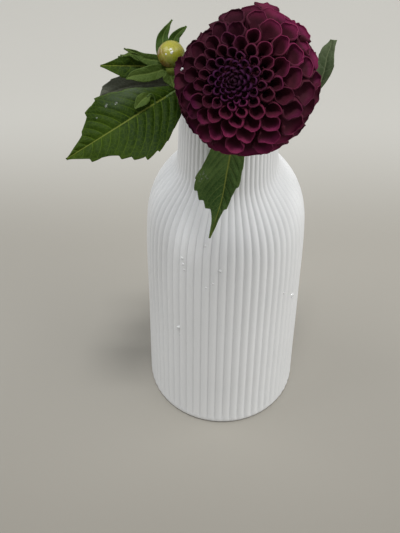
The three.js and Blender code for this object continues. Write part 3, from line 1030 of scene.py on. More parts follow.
@dataclass
class Blade:
    """One toothed leaf or smooth bract on its midrib.

    Its half-widths are given at even steps from base to tip, and each tooth as its place, a share of
    the length, and how far it stands out.
    """

    LEAST_HALF = 0.12  # half-width that is kept at the tip
    RIM_POWER = 6  # how close to the margin the teeth stay
    TOOTH_FALL = 0.28  # share of its run over which a tooth falls back
    TOOTH_LEAN = 0.9  # how far a tooth points to the leaf's tip
    RIB_DEPTH = 0.35  # groove along the midrib
    RIB_HALF = 0.9  # half the groove's width

    name: str
    midrib: list[Point]
    face: Point
    left: list[float]
    right: list[float]
    left_teeth: tuple[Pair, ...] = ()
    right_teeth: tuple[Pair, ...] = ()
    tooth_run: float = 0.06
    fold: float = 0.12
    wave: float = 0.4
    veins: float = 9.0
    vein_lean: float = 1.0
    quilt: float = 0.28
    thickness: float = 0.34
    columns: int = 32
    rows: int = 110
    seed: float = 0.0

    def _tooth_at(self, along: float, right_side: bool) -> float:
        """How far the margin's teeth stand out.

        Args:
            along: Share of the length.
            right_side: Which margin.

        Returns:
            The reach of the tooth there, or 0 between teeth.
        """
        reach = 0.0
        for place, size in self.right_teeth if right_side else self.left_teeth:
            before = (place - along) / self.tooth_run
            profile = (1 - before) ** 0.85 if 0 <= before < 1 else 0.0
            if -self.TOOTH_FALL < before < 0:
                profile = 1 + before / self.TOOTH_FALL
            reach = max(reach, size * profile)
        return reach

    def build(self) -> bpy.types.Object:
        """Moulds the blade with its teeth, folds and quilting, and gives it a thickness.

        Returns:
            The blade, with the numbers that its finish reads.
        """
        path = SmoothPath(self.midrib)
        face = Vector(self.face)
        across_mm, alongs, veins, edges = [], [], [], []

        def shape(u: float, along: float) -> Vector:
            """Moulds one corner and keeps its marks.

            Args:
                u: Share of the half-width, -1 at the left margin and 1 at the right.
                along: Share of the length.

            Returns:
                Where the corner goes, in metres.
            """
            heading = path.heading(along)
            side = heading.cross(face).normalized()
            normal = side.cross(heading).normalized()
            half = max(list_value(self.left if u < 0 else self.right, along), self.LEAST_HALF)
            tooth = self._tooth_at(along, u > 0)
            rim = abs(u) ** self.RIM_POWER
            reach = abs(u) * half + tooth * rim
            lean = self.vein_lean * half / path.length * (0.42 * abs(u) + 0.5 * u * u)
            vein = (along - lean) * self.veins + 0.35 * (u > 0) + 20
            pillow = math.sin(math.pi * (vein % 1.0)) ** 0.7
            ripple = noise.noise(Vector((along * 5 + self.seed, u * 1.3, self.seed)))
            lift = self.fold * reach + self.wave * 2.2 * ripple * abs(u) ** 1.5
            lift += self.quilt * (pillow - 0.5) * math.sin(math.pi * min(abs(u) * 1.15, 1.0))
            lift -= self.RIB_DEPTH * math.exp(-((u * half / self.RIB_HALF) ** 2))
            place = path.at(along) + side * math.copysign(reach, u) + normal * lift
            place += heading * tooth * rim * self.TOOTH_LEAN
            across_mm.append(u * half)
            alongs.append(along)
            veins.append(vein)
            edges.append(abs(u))
            return place * MM

        piece = grid(self.name, self.columns, self.rows)
        mould(piece, shape)
        mark(piece, "across_mm", across_mm)
        mark(piece, "along", alongs)
        mark(piece, "vein", veins)
        mark(piece, "edge", edges)
        total = sum((p.normal * p.area for p in piece.data.polygons), Vector())
        if total.dot(face) < 0:
            edit_all(piece, bpy.ops.mesh.flip_normals)
        thicken(piece, self.thickness * MM, -1)
        return piece


def petiole(name: str, points: list[Point], radius: float = 1.05) -> bpy.types.Object:
    """A leaf's stalk, wider where it joins the stem.

    Args:
        name: Name of the new object.
        points: Its route in millimetres.
        radius: Its radius in millimetres.

    Returns:
        The new object.
    """
    def girth(along: float, angle: float) -> float:
        """Radius at a share of the length and an angle."""
        return radius * (1 + 0.45 * smooth(0.14, 0.0, along) - 0.3 * along + 0.05 * math.cos(4 * angle))

    return sweep(name, SmoothPath(points), girth, 12, 40)


LEAF_GREEN = Foliage("leaf_green", (0.010, 0.026, 0.0004), (0.022, 0.046, 0.0008),
                     (0.068, 0.112, 0.005), (0.135, 0.160, 0.024), 0.85, painted_sheen_share=0.75, shaded_share=0.7)
FRONT_GREEN = Foliage("front_leaf_green", (0.036, 0.080, 0.017), (0.090, 0.156, 0.040),
                      (0.170, 0.240, 0.064), (0.245, 0.285, 0.055), 0.9)
UNDER_GREEN = Foliage("leaf_underside", (0.054, 0.079, 0.034), (0.074, 0.101, 0.048),
                      (0.138, 0.168, 0.095), (0.146, 0.178, 0.092), 0.7, 0.62)
DULL_BRONZE = Foliage("rear_leaf_dull", (0.080, 0.086, 0.062), (0.104, 0.112, 0.084), (0.140, 0.150, 0.115),
                      (0.160, 0.170, 0.125), 0.5, 0.65)
BRACT_GREEN = Foliage("bract_green", (0.026, 0.056, 0.008), (0.040, 0.080, 0.012), (0.080, 0.120, 0.030),
                      (0.100, 0.150, 0.035), 0.35, 0.45)
LIME_CUP = Foliage("lime_cup", (0.085, 0.115, 0.016), (0.110, 0.140, 0.020), (0.140, 0.170, 0.035),
                   (0.140, 0.170, 0.035), 0.4, 0.5)
PALE_BRACT = Foliage("pale_bract", (0.040, 0.070, 0.011), (0.058, 0.092, 0.015), (0.095, 0.140, 0.035),
                     (0.100, 0.145, 0.032), 0.4, 0.5)
# marks of a green piece without veins
NO_VEINS = {"across_mm": 3.0, "along": 0.3, "vein": 0.5, "edge": 0.2}


@dataclass
class Leaf:
    """A leaf on its stalk, with any leaflets on a thin stalk of their own, standing for one solid."""

    node: str
    blade: Blade
    stalk: list[Point]
    finish: Foliage
    slot: Slot
    leaflets: list[Blade] = field(default_factory=list)
    leaflet_stalk: list[Point] = field(default_factory=list)
    leaflet_stalk_radius: float = 0.36

    def dress(self, stalk_finish: bpy.types.Material) -> None:
        """Builds and finishes the leaf.

        Args:
            stalk_finish: Material of its stalk.
        """
        parts = [coat(self.blade.build(), self.finish.make())]
        parts.append(coat(petiole(f"{self.node}_stalk", self.stalk), stalk_finish))
        if self.leaflet_stalk:
            thin = petiole(f"{self.node}_thin_stalk", self.leaflet_stalk, self.leaflet_stalk_radius)
            parts.append(coat(thin, stalk_finish))
        for leaflet in self.leaflets:
            parts.append(coat(leaflet.build(), PALE_BRACT.make()))
        hand_in(join(parts, self.blade.name), self.slot, self.node)


def leaves() -> list[Leaf]:
    """The plant's leaves, as they stand.

    Returns:
        The five leaves; the large one carries a leaflet.
    """
    large = Blade(
        "large_left_leaf",
        [(-25.4, -28.2, 244.9), (-38, -39.8, 244.2), (-49.7, -48.4, 241.4), (-73.7, -58.2, 230.1)],
        (0.127, -0.594, 0.794),
        [5.8, 10.7, 13.8, 17.0, 18.6, 18.0, 13.6, 9.6, 7.2, 3.6, 0.3],
        [2.9, 5.4, 7.8, 10.7, 12.6, 14.6, 14.6, 11.2, 5.5, 2.6, 0.3],
        left_teeth=((0.2, 0.4), (0.3, 0.6), (0.40, 1.0), (0.49, 1.5), (0.565, 1.2), (0.635, 1.2),
                    (0.83, 1.1)),
        right_teeth=((0.36, 0.3), (0.47, 0.4), (0.575, 0.9), (0.69, 1.1), (0.79, 0.5)),
        fold=0.12, veins=13, quilt=0.8, wave=0.6, seed=3.0, rows=160, columns=40)
    leaflet = Blade(
        "small_leaflet", [(-36.6, -36.8, 249.7), (-40, -40.6, 249.2), (-43, -44.6, 247.8)],
        (0.2, -0.62, 0.76), [0.4, 2.4, 2.7, 1.8, 0.2], [0.4, 2.2, 2.7, 1.9, 0.2],
        fold=0.2, wave=0.2, veins=5, quilt=0.1, rows=24, columns=12, seed=8.0)
    rear = Blade(
        "rear_left_leaf",
        [(-25.6, -19.6, 241.4), (-37.7, -18.4, 240.7), (-50.7, -18.6, 238.4), (-61.9, -19.7, 233.4)],
        (-0.072, -0.86, 0.506),
        [3.6, 6.0, 7.0, 8, 8.6, 8.9, 9, 8.9, 7.9, 5.6, 0.3],
        [1.4, 2.9, 4.4, 5.4, 6.2, 6.3, 6.1, 5.6, 4.9, 3.4, 0.3],
        right_teeth=((0.6, 0.3), (0.75, 0.4), (0.88, 0.4)), fold=0.08, veins=8, seed=5.0)
    small = Blade(
        "small_left_leaf",
        [(-32.2, -18.9, 248.5), (-40, -18.2, 250.7), (-49.1, -19.4, 251.9), (-59.6, -20.9, 253.1)],
        (0.158, -0.79, 0.592),
        [1.8, 4.4, 5.8, 6.1, 4.6, 2.4, 0.3], [1.8, 3.6, 4.4, 4.4, 4, 2, 0.3],
        left_teeth=((0.45, 0.5), (0.66, 0.4)), right_teeth=((0.5, 0.4), (0.7, 0.5)),
        fold=0.15, veins=6, quilt=0.2, columns=24, rows=60, seed=7.0)
    front = Blade(
        "front_leaf",
        [(1.2, -31.8, 224.4), (0, -35.4, 214.8), (-1.7, -38.4, 203), (-3.6, -40.8, 189.3),
         (-6.3, -44.4, 179.2), (-9.4, -47.8, 169)],
        (0.06, -0.974, 0.228),
        [3.6, 6.2, 6.8, 6.9, 6.8, 5.5, 4.1, 2.5, 1.1, 0.6, 0.2],
        [4, 8.8, 10.4, 12, 14.2, 13.6, 10.2, 5.4, 2.6, 1.3, 0.2],
        left_teeth=((0.3, 0.3), (0.47, 0.7), (0.69, 0.9)),
        right_teeth=((0.30, 0.4), (0.41, 0.7), (0.525, 1.4), (0.62, 1.9), (0.70, 1.7)),
        tooth_run=0.095, fold=0.16, veins=10, vein_lean=1.9, quilt=1.0, wave=0.6, rows=150, columns=40,
        seed=11.0)
    right = Blade(
        "right_leaf",
        [(31, -19.2, 234.4), (38.4, -23, 241.6), (41.4, -20.4, 249.4), (42.8, -16.4, 256.4),
         (44.0, -14.8, 259.8), (44.5, -13.0, 262.3)],
        (-0.35, -0.8, 0.46),
        [0.5, 0.7, 0.9, 1.6, 2.6, 3.2, 3.3, 3.3, 3.3, 2.8, 0.3],
        [0.5, 0.6, 0.7, 1.0, 1.8, 2.8, 3.7, 4.1, 3.5, 2.4, 1.7],
        left_teeth=((0.62, 0.3), (0.78, 0.3)), right_teeth=((0.68, 0.3), (0.985, 0.8)),
        fold=0.30, wave=0.9, veins=8, quilt=0.2, columns=24, rows=80, seed=13.0)
    return [
        Leaf("leaf_left_large", large,
             [(15, -10.6, 223.5), (4, -12, 231.5), (-9, -17, 239), (-18, -23.2, 242.6),
              (-25.4, -28.2, 244.6), (-30, -32.2, 244.1)],
             LEAF_GREEN, Slot.LEAF, [leaflet],
             [(-34.6, -36.6, 244.0), (-34.9, -36.0, 247.0), (-36.2, -36.4, 249.5), (-38, -38.4, 249.4)]),
        Leaf("leaf_left_rear", rear,
             [(15, -10, 220.8), (4, -6.6, 229.5), (-8, -10, 235.4), (-18, -16, 240),
              (-25.6, -19.6, 241.2), (-30, -19.2, 240.8)],
             DULL_BRONZE, Slot.UNDERSIDE),
        Leaf("leaf_left_small", small,
             [(-26, -23.2, 248.4), (-29.4, -20.6, 247.4), (-32.2, -18.9, 248.3), (-35, -18.7, 248.9)],
             LEAF_GREEN, Slot.LEAF),
        Leaf("leaf_front", front,
             [(15.2, -11.2, 227.4), (11, -19, 230.2), (6, -26.4, 229), (1.2, -31.8, 224.2),
              (0.6, -33.8, 219.5)],
             FRONT_GREEN, Slot.LEAF),
        Leaf("leaf_right", right,
             [(15.3, -11.6, 228.6), (19.6, -13, 230.2), (25, -15.4, 231.4), (31, -19.2, 234.2),
              (34.4, -21.2, 237.4)],
             UNDER_GREEN, Slot.UNDERSIDE),
    ]


# ------------------------------------------------------------------ bloom


class FloretKind(Enum):
    """Forms that a floret grows through.

    Each holds half the turn of its roll, the height of its sides, and the faces round it and up it.
    """

    HEART = (2.2, 0.5, 10, 6)
    MIDDLE = (2.8, 0.80, 14, 8)
    OUTER = (2.7, 0.70, 16, 8)

    @property
    def roll(self) -> float:
        """Half of the angle that the petal wraps round, in radians."""
        return self.value[0]

    @property
    def side(self) -> float:
        """Height of the side margins, as a share of the outer lip's."""
        return self.value[1]

    @property
    def faces(self) -> tuple[int, int]:
        """Faces round the petal and up it."""
        return self.value[2], self.value[3]


@dataclass(frozen=True)
class FloretPlace:
    """Where one floret grows: angle from the heart, turn round the axis, spacing and vigour."""

    theta: float
    turn: float
    pitch: float
    vigour: float

    @property
    def outward(self) -> Vector:
        """Direction out of the ball."""
        s = math.sin(self.theta)
        return Vector((s * math.cos(self.turn), s * math.sin(self.turn), math.cos(self.theta)))

    @property
    def away(self) -> Vector:
        """Direction along the ball, away from the heart."""
        c = math.cos(self.theta)
        return Vector((c * math.cos(self.turn), c * math.sin(self.turn), -math.sin(self.theta)))


@dataclass
class PomponBloom:
    """The ball of rolled florets on its core, and the green cup behind it."""

    centre: Vector = field(default_factory=lambda: Vector((5.8, -40.8, 260.2)))
    axis: Vector = field(default_factory=lambda: Vector((-0.226, -0.774, 0.592)).normalized())
    lip_radius: float = 32.0
    root_radius: float = 20.5
    core_radius: float = 22.6
    back: float = 17.5  # the flat back lies this far behind the centre
    first_angle: float = 0.03
    heart_end: float = 0.30
    middle_end: float = 0.66
    last_angle: float = 2.16
    packing_radius: float = 28.3  # florets are counted out on this sphere
    floret_area: float = 0.92  # area that a floret takes there, in squares of its pitch
    stray: float = 0.3  # how far a floret may lie off its place, in pitches
    left_crowding: float = 0.12
    heart_sink: float = 2.4
    flare: float = 0.7
    petal_thickness: float = 0.34
    cell_rays: int = 24
    widest_cell: float = 0.66  # in pitches
    longest: float = 1.9  # a floret's length from root to lip, in pitches
    closing_spread: float = 0.16
    oval_spread: float = 0.22
    ruffle: float = 0.20
    margin_wave: float = 0.07
    # how far the head stands out from a ball, which way, and how soon that fades round it
    swellings: tuple[tuple[float, Point, Pair], ...] = (
        (-3.8, (-0.55, 0.616, 0.556), (0.55, 0.95)), (1.2, (0.5, 0.645, 0.583), (0.75, 1.0)),
        (1.2, (0.14, -0.735, -0.663), (0.7, 1.0)), (-2.0, (1.0, 0.0, 0.0), (0.7, 1.0)))
    pitch_steps: list[Pair] = field(default_factory=lambda: [
        (0.0, 1.9), (0.26, 2.6), (0.40, 4.4), (0.70, 6.6), (1.0, 8.0), (1.35, 8.8), (2.3, 9.2)])
    closing_steps: list[Pair] = field(default_factory=lambda: [
        (0.0, 0.34), (0.30, 0.33), (0.50, 0.25), (0.80, 0.19), (1.2, 0.16), (2.3, 0.12)])
    cup_rows: list[Pair] = field(default_factory=lambda: [
        (0.1, -6.6), (2.6, -6.6), (3.6, -6.2), (5.6, -4.4), (7.6, -2.6), (8.6, -1.2), (9, 0), (0.1, 0)])
    cup_bracts: int = 7
    bract_route: list[Pair] = field(default_factory=lambda: [
        (6.0, 1.2), (11.0, 1.7), (15.6, 3.5), (17.8, 6.7)])

    @staticmethod
    def _size_at(steps: Sequence[Pair], theta: float) -> float:
        """A size that changes with the angle from the heart.

        Args:
            steps: Angles and the sizes there.
            theta: The angle.

        Returns:
            The size there, between its two nearest steps.
        """
        for (a, p), (b, q) in zip(steps, steps[1:]):
            if theta <= b:
                return p + (q - p) * (theta - a) / (b - a)
        return steps[-1][1]

    def places(self) -> list[FloretPlace]:
        """Golden-angle places from the heart to the back, each a little off its spot.

        Returns:
            The places, from the heart outwards.
        """
        random.seed(SEED)
        found = []
        theta = self.first_angle
        to_row = turn_to(self.axis)
        while theta < self.last_angle:
            pitch = self._size_at(self.pitch_steps, theta)
            stray = self.stray * pitch / self.packing_radius
            turn = len(found) * GOLDEN_ANGLE + stray / math.sin(theta + 0.05) * (random.random() - 0.5)
            left = -(to_row @ Vector((math.cos(turn), math.sin(turn), 0))).x
            squeeze = 1 - self.left_crowding * left * (1 - smooth(1.1, 2.1, theta))
            squeeze *= 1 + stray / (theta + 0.05) * (random.random() - 0.5)
            found.append(FloretPlace(theta * squeeze, turn, pitch * squeeze, random.random()))
            share = self.floret_area * pitch**2 / (2 * math.pi * self.packing_radius**2)
            theta = math.acos(max(math.cos(theta) - share, -1.0))
        return found

    def _cell(self, place: FloretPlace, others: Sequence[FloretPlace]) -> list[float]:
        """Room that a floret has in every direction before it meets its neighbours.

        Args:
            place: The floret.
            others: All florets.

        Returns:
            Reach in millimetres at even angles, starting away from the heart.
        """
        outward, away = place.outward, place.away
        across = outward.cross(away)
        reach = [self.widest_cell * place.pitch] * self.cell_rays
        for other in others:
            offset = (other.outward - outward) * self.lip_radius
            if other is place or offset.length > 3 * place.pitch:
                continue
            x, y = offset.dot(away), offset.dot(across)
            distance, bearing = math.hypot(x, y), math.atan2(y, x)
            for ray in range(self.cell_rays):
                facing = math.cos(2 * math.pi * ray / self.cell_rays - bearing)
                if facing > 0.3:
                    reach[ray] = min(reach[ray], 0.5 * distance / facing)
        softened = []
        for ray in range(self.cell_rays):
            ahead, behind = reach[(ray + 1) % self.cell_rays], reach[ray - 1]
            softened.append(0.5 * reach[ray] + 0.25 * (ahead + behind))
        return softened

    def model(self, kind: FloretKind) -> bpy.types.Object:
        """Models one floret of unit reach, its base at the origin and its outer side along +X.

        Args:
            kind: The form of the floret.

        Returns:
            The floret as a rolled sheet, with the marks that its finish reads.
        """
        heights, alongs, outers = [], [], []

        def shape(across: float, along: float) -> Vector:
            """Moulds one corner and keeps its marks.

            Args:
                across: Share of half the roll, -1 to 1.
                along: Share of the way from the root to the margin.

            Returns:
                Where the corner goes.
            """
            angle = across * kind.roll
            outer = 0.5 * (1 + math.cos(angle))
            rise = 1 - (1 - along) ** 2.2
            swell = math.sin(0.5 * math.pi * along**1.1)
            radius = 0.34 + 0.70 * swell
            radius *= 1 - 0.10 * smooth(0.72, 1.0, abs(across))
            height = rise * (kind.side + (1 - kind.side) * outer**0.9)
            pinch = 0.05 * smooth(0.6, 1.0, along) * math.exp(-((angle / 0.25) ** 2))
            heights.append(height)
            alongs.append(along)
            outers.append(outer)
            return Vector(((radius - pinch) * math.cos(angle), radius * math.sin(angle), height))

        piece = grid(f"floret_{kind.name.lower()}", *kind.faces)
        mould(piece, shape)
        mark(piece, "height", heights)
        mark(piece, "along", alongs)
        mark(piece, "outer", outers)
        return piece

    def _grow(self, model: bpy.types.Object, place: FloretPlace, cell: Sequence[float],
              number: int) -> bpy.types.Object:
        """Copies a floret to its place and fits it to its room.

        Args:
            model: The floret to copy.
            place: Where it grows.
            cell: Its room in every direction.
            number: Its place in the spiral.

        Returns:
            The copy, with its own mesh in the bloom's own frame, in millimetres.
        """
        loose = smooth(0.3, 1.1, place.theta)
        lean = -0.65 + 0.50 * smooth(0.2, 0.42, place.theta) + 0.45 * smooth(0.4, 1.2, place.theta)
        lean += (0.08 + 0.20 * loose) * (place.vigour - 0.5)
        up = (place.outward * math.cos(lean) + place.away * math.sin(lean)).normalized()
        out = (place.away * math.cos(lean) - place.outward * math.sin(lean)).normalized()
        across = up.cross(out)
        crown = self._crown(place, loose)
        root = max(self.root_radius, crown - self.longest * place.pitch)
        tall = crown - root
        copy = bpy.data.objects.new(f"floret_{number:03d}", model.data.copy())
        bpy.context.scene.collection.objects.link(copy)
        base = place.outward * root - out * 0.9 * lean * tall * 0.5
        wobble = Vector((7.1 * number, 3.3, 1.7))
        mean = sum(cell) / len(cell)
        closing = self._size_at(self.closing_steps, place.theta)
        closing += self.closing_spread * (random.random() - 0.5)
        oval = 1 + self.oval_spread * (random.random() - 0.5)
        for vertex, along in zip(copy.data.vertices, copy.data.attributes["along"].data):
            x, y, z = vertex.co
            tuck = 1 - closing * smooth(0.58, 1.0, along.value) ** 1.3
            x, y = x * tuck, y * tuck * oval
            spot = (math.atan2(y, x) / (2 * math.pi) * self.cell_rays) % self.cell_rays
            low = int(spot)
            room = cell[low] + (cell[(low + 1) % self.cell_rays] - cell[low]) * (spot - low)
            width = mean + (room - mean) * clamp(z * 1.3)
            ruffle = 1 + self.ruffle * z * noise.noise(Vector((x, y, z)) * 2.2 + wobble)
            rise = tall * (1 + self.margin_wave * noise.noise(Vector((x, y, 0)) * 2.4 + wobble))
            vertex.co = base + (out * x + across * y) * ruffle * width + up * z * rise
        # painted light and shade per floret: darker up on the left, with random tone mixed in, and lighter
        # low in front and up on the right
        spot = turn_to(self.axis) @ place.outward
        dark = 0.6 * random.random() + 0.7 * facing(spot, (-0.60, 0.10, 0.79), 0.5, 0.95)
        low_lit = facing(spot, (0.0, -0.93, -0.36), 0.6, 0.98)
        high_lit = facing(spot, (0.60, 0.0, 0.80), 0.6, 0.98)
        dark -= 0.8 * low_lit + 0.5 * high_lit
        mark_all(copy, grown=place.theta, shade=clamp(dark), lit=clamp(low_lit + high_lit))
        return copy

    def _crown(self, place: FloretPlace, loose: float) -> float:
        """How far out a floret's lip reaches, as the head isn't quite a ball.

        Args:
            place: Where the floret grows.
            loose: How loosely it grows, from 0 in the heart to 1.

        Returns:
            Radius of its lip from the bloom's centre.
        """
        spot = turn_to(self.axis) @ place.outward
        crown = self.lip_radius - self.heart_sink * (1 - smooth(0.0, 0.42, place.theta))
        crown += sum(size * facing(spot, way, *fade) for size, way, fade in self.swellings)
        crown += self.flare * loose + (0.4 + 2.7 * loose) * (place.turn * 7.3 % 1.0 - 0.5)
        return crown

    def _core(self) -> bpy.types.Object:
        """The dense dark core that the florets stand on, flattened behind.

        Returns:
            The core in the bloom's own frame, in millimetres.
        """
        piece = ball(48, 32, self.core_radius)
        for vertex in piece.data.vertices:
            vertex.co.z = max(vertex.co.z, -self.back)
            vertex.co *= 1 + 0.02 * noise.noise(vertex.co * 0.6)
        mark_all(piece, height=0.1, grown=1.0)
        return piece

    def build(self) -> bpy.types.Object:
        """Models the floret forms, places every floret and joins them with the core.

        Returns:
            The bloom in the row frame.
        """
        models = {kind: self.model(kind) for kind in FloretKind}
        spiral = self.places()
        pieces = [self._core()]
        for number, place in enumerate(spiral):
            kind = FloretKind.HEART if place.theta < self.heart_end else FloretKind.MIDDLE
            if place.theta > self.middle_end:
                kind = FloretKind.OUTER
            pieces.append(self._grow(models[kind], place, self._cell(place, spiral), number))
        for model in models.values():
            bpy.data.objects.remove(model)
        petals = join(pieces[1:], "petals")
        thicken(petals, self.petal_thickness, 0)
        bloom = join([petals, pieces[0]], "pompon_bloom")
        turn = turn_to(self.axis)
        hues = []
        for vertex in bloom.data.vertices:
            spot = turn @ vertex.co
            way = spot.normalized()
            # painted light: the hue leans to the brighter magenta on the right and low in front; the noise
            # patches are the petals' own tone
            right = 0.50 * facing(way, (0.90, 0.25, 0.36), 0.45, 0.95)
            low = 0.34 * facing(way, (-0.30, -0.86, -0.42), 0.35, 0.95)
            patch = 0.75 * noise.noise(spot * 0.08 + Vector((3, 1, 4)))
            hues.append(clamp(0.32 + right + low + patch))
            vertex.co = (spot + self.centre) * MM
        mark(bloom, "hue", hues)
        LOG.info("bloom has %d florets", len(spiral))
        return bloom

    def _calyx(self) -> bpy.types.Object:
        """The green cup behind the bloom, and the bracts that lie against its back.

        Returns:
            The cup and its bracts in one piece.
        """
        front = -self.back - 0.3
        turn = turn_to(self.axis)
        cup = grid("calyx_cup", 40, len(self.cup_rows) - 1)

        def cup_shape(across: float, along: float) -> Vector:
            """Places one corner of the cup.

            Args:
                across: Share of half a turn, -1 to 1.
                along: Share of the way through the cup's rows.

            Returns:
                Where the corner goes, in metres.
            """
            radius, drop = self.cup_rows[round(along * (len(self.cup_rows) - 1))]
            if 2 < radius < 9:
                radius *= 1 + 0.05 * math.cos(self.cup_bracts * math.pi * across)
            angle = math.pi * across
            spot = Vector((radius * math.cos(angle), radius * math.sin(angle), front + drop))
            return (turn @ spot + self.centre) * MM

        mould(cup, cup_shape)
        edit_all(cup, weld, close_ends, face_out)
        mark_all(cup, **NO_VEINS)
        parts = [cup]
        for i in range(self.cup_bracts):
            angle = 2 * math.pi * i / self.cup_bracts + 0.3
            ray = Vector((math.cos(angle), math.sin(angle), 0))
            spots = [ray * reach + Vector((0, 0, front - drop)) for reach, drop in self.bract_route]
            bract = Blade(f"calyx_bract_{i}", [tuple(turn @ spot + self.centre) for spot in spots],
                          tuple(self.axis), [2.6, 3.5, 3, 0.2], [2.6, 3.5, 3, 0.2], fold=0.03, wave=0.15,
                          veins=3, quilt=0.05, rows=20, columns=10, seed=float(i))
            parts.append(bract.build())
        finish = BRACT_GREEN.make()
        return join([coat(part, finish) for part in parts], "bloom_calyx")

    def dress(self) -> None:
        """Builds and finishes the bloom and its calyx."""
        hand_in(coat(self.build(), Petal().make()), Slot.PETALS, "bloom")
        hand_in(self._calyx(), Slot.BRACTS, "bloom_bracts")


# ------------------------------------------------------------------ bud


@dataclass
class ClosedBud:
    """The round bud in its overlapping scales, with the outer bracts below it."""

    centre: Vector = field(default_factory=lambda: Vector((-27.6, -19.4, 258.4)))
    axis: Vector = field(default_factory=lambda: Vector((-0.085, 0.495, 0.865)).normalized())
    radius: float = 6.1
    scales: int = 8
    twist: float = 0.55  # how far the seams wind round, from the bud's foot to half its height
    overlap: float = 0.035  # how much higher a scale's edge lies than the next one, in radii
    seam_depth: float = 0.03  # in radii
    seam_width: float = 0.05  # in scales
    unevenness: float = 0.012  # in radii

    def _head(self) -> bpy.types.Object:
        """The bud itself, with a seam between each scale and the next.

        Returns:
            The bud, with the marks that its finish reads.
        """
        piece = ball(96, 48)
        piece.name = "closed_bud"
        turn = turn_to(self.axis)
        heights, flushes = [], []
        for vertex in piece.data.vertices:
            spot = vertex.co.normalized()
            angle = math.atan2(spot.y, spot.x) + self.twist * (1 + spot.z)
            share = (angle * self.scales / (2 * math.pi)) % 1.0
            belt = math.sin(math.pi * clamp(0.5 * (1 + spot.z))) ** 0.6
            step = self.overlap * (share - 0.5) * belt
            seam = -self.seam_depth * math.exp(-((min(share, 1 - share) / self.seam_width) ** 2)) * belt
            bulge = 1 + step + seam + self.unevenness * noise.noise(spot * 2.5)
            place = turn @ (spot * bulge * self.radius)
            way = place.normalized()
            heights.append(0.5 * (1 + spot.z))
            flushes.append(clamp(0.55 - 0.55 * way.x - 0.35 * way.z))
            vertex.co = (place + self.centre) * MM
        mark(piece, "height", heights)
        mark(piece, "flush", flushes)
        return piece

    def _bracts(self) -> bpy.types.Object:
        """The small cup and the bracts that spread from it.

        Returns:
            The cup and its bracts in one piece.
        """
        upright = (0.0, -1.0, 0.2)
        lying = (0.1, -0.8, 0.6)
        dark = [
            Blade("bract_tall", [(-28, -19.6, 252.6), (-31.4, -12, 255.4), (-31.7, -9.6, 257.8),
                                 (-31.4, -7.6, 260), (-30, -6.4, 262.8), (-27.2, -4.6, 266.3)],
                  upright, [1.6, 3.0, 3.2, 2.6, 1.4, 0.2], [1.6, 3.0, 3.2, 2.5, 1.3, 0.2], seed=1.0),
            Blade("bract_second", [(-26.4, -19.4, 252.8), (-27, -11.3, 255.6), (-26.6, -8.9, 257.7),
                                   (-25.8, -7.6, 259.6), (-23.7, -6.4, 261.3), (-20.9, -4.9, 263.4)],
                  upright, [1.5, 2.8, 3.0, 2.6, 1.8, 0.2], [1.5, 2.7, 2.8, 2.4, 1.6, 0.2], seed=2.0),
            Blade("bract_right", [(-25.6, -20.4, 252.6), (-21, -17.4, 253.6), (-16.4, -13, 256.6),
                                  (-13.4, -9, 260)],
                  (0, -0.5, 1), [1.4, 2.4, 2.2, 1.4, 0.2], [1.4, 2.4, 2.2, 1.4, 0.2], seed=3.0),
        ]
        pale = [
            Blade("bract_low", [(-29.0, -23.6, 253.0), (-28.3, -24.7, 251.5), (-27.4, -25.9, 249.1),
                                (-26.3, -28.2, 246.4)],
                  (0, -0.8, 0.6), [1.2, 2.2, 2.3, 1.4, 0.2], [1.6, 3.2, 3.4, 2.0, 0.3], seed=6.0),
            Blade("bract_paddle", [(-29, -21.6, 252.6), (-33.9, -24.6, 252.7), (-39.2, -27.3, 253.1),
                                   (-44.5, -28.7, 253.3), (-47.6, -29.8, 252.5)],
                  lying, [1.5, 3, 3.4, 2.6, 0.3], [1.5, 3, 3.4, 2.6, 0.3], seed=4.0),
            Blade("bract_upper", [(-29.4, -20.4, 253.4), (-34.5, -19, 254.7), (-37.5, -19.2, 255.2),
                                  (-40.6, -19.2, 256.6), (-43.5, -18.7, 258.3), (-48.5, -19, 261)],
                  lying, [1.4, 2.2, 2.5, 1.8, 0.8, 0.15], [1.4, 2.2, 2.5, 1.8, 0.8, 0.15], seed=5.0),
            Blade("bract_curl", [(-38.6, -19.4, 255.2), (-41.6, -19.4, 256.4), (-44, -19.4, 257.8),
                                 (-46.4, -20.1, 259.0), (-48.4, -21, 258.9), (-50.2, -21.4, 259.1)],
                  lying, [0.8, 1.5, 1.7, 1.2, 0.5, 0.1], [0.8, 1.0, 0.9, 0.6, 0.4, 0.1], seed=9.0),
        ]
        parts = [self._cup()]
        for blades, finish in ((dark, BRACT_GREEN), (pale, PALE_BRACT)):
            material = finish.make()
            for blade in blades:
                blade.fold, blade.wave, blade.veins, blade.quilt = 0.22, 0.35, 4, 0.12
                blade.rows, blade.columns = 36, 14
                parts.append(coat(blade.build(), material))
        return join(parts, "outer_bud_bracts")

    def _cup(self) -> bpy.types.Object:
        """The cup under the bud that its bracts grow from.

        Returns:
            The cup with its finish.
        """
        drops = (9.3, 6.9, 5.7)  # below the bud's centre
        path = SmoothPath([tuple(self.centre - self.axis * drop) for drop in drops])

        def girth(along: float, angle: float) -> float:
            """Radius at a share of the length and an angle."""
            return 1.5 + 1.7 * math.sin(0.5 * math.pi * clamp(along * 1.3)) + 0.12 * math.cos(6 * angle)

        piece = sweep("bud_cup", path, girth, 24, 12)
        mark_all(piece, **NO_VEINS)
        return coat(piece, LIME_CUP.make())

    def dress(self) -> None:
        """Builds and finishes the bud and its bracts."""
        hand_in(coat(self._head(), BudSkin().make()), Slot.BUD, "bud")
        hand_in(self._bracts(), Slot.BRACTS, "bud_bracts")


# ------------------------------------------------------------------ camera, drops and stage


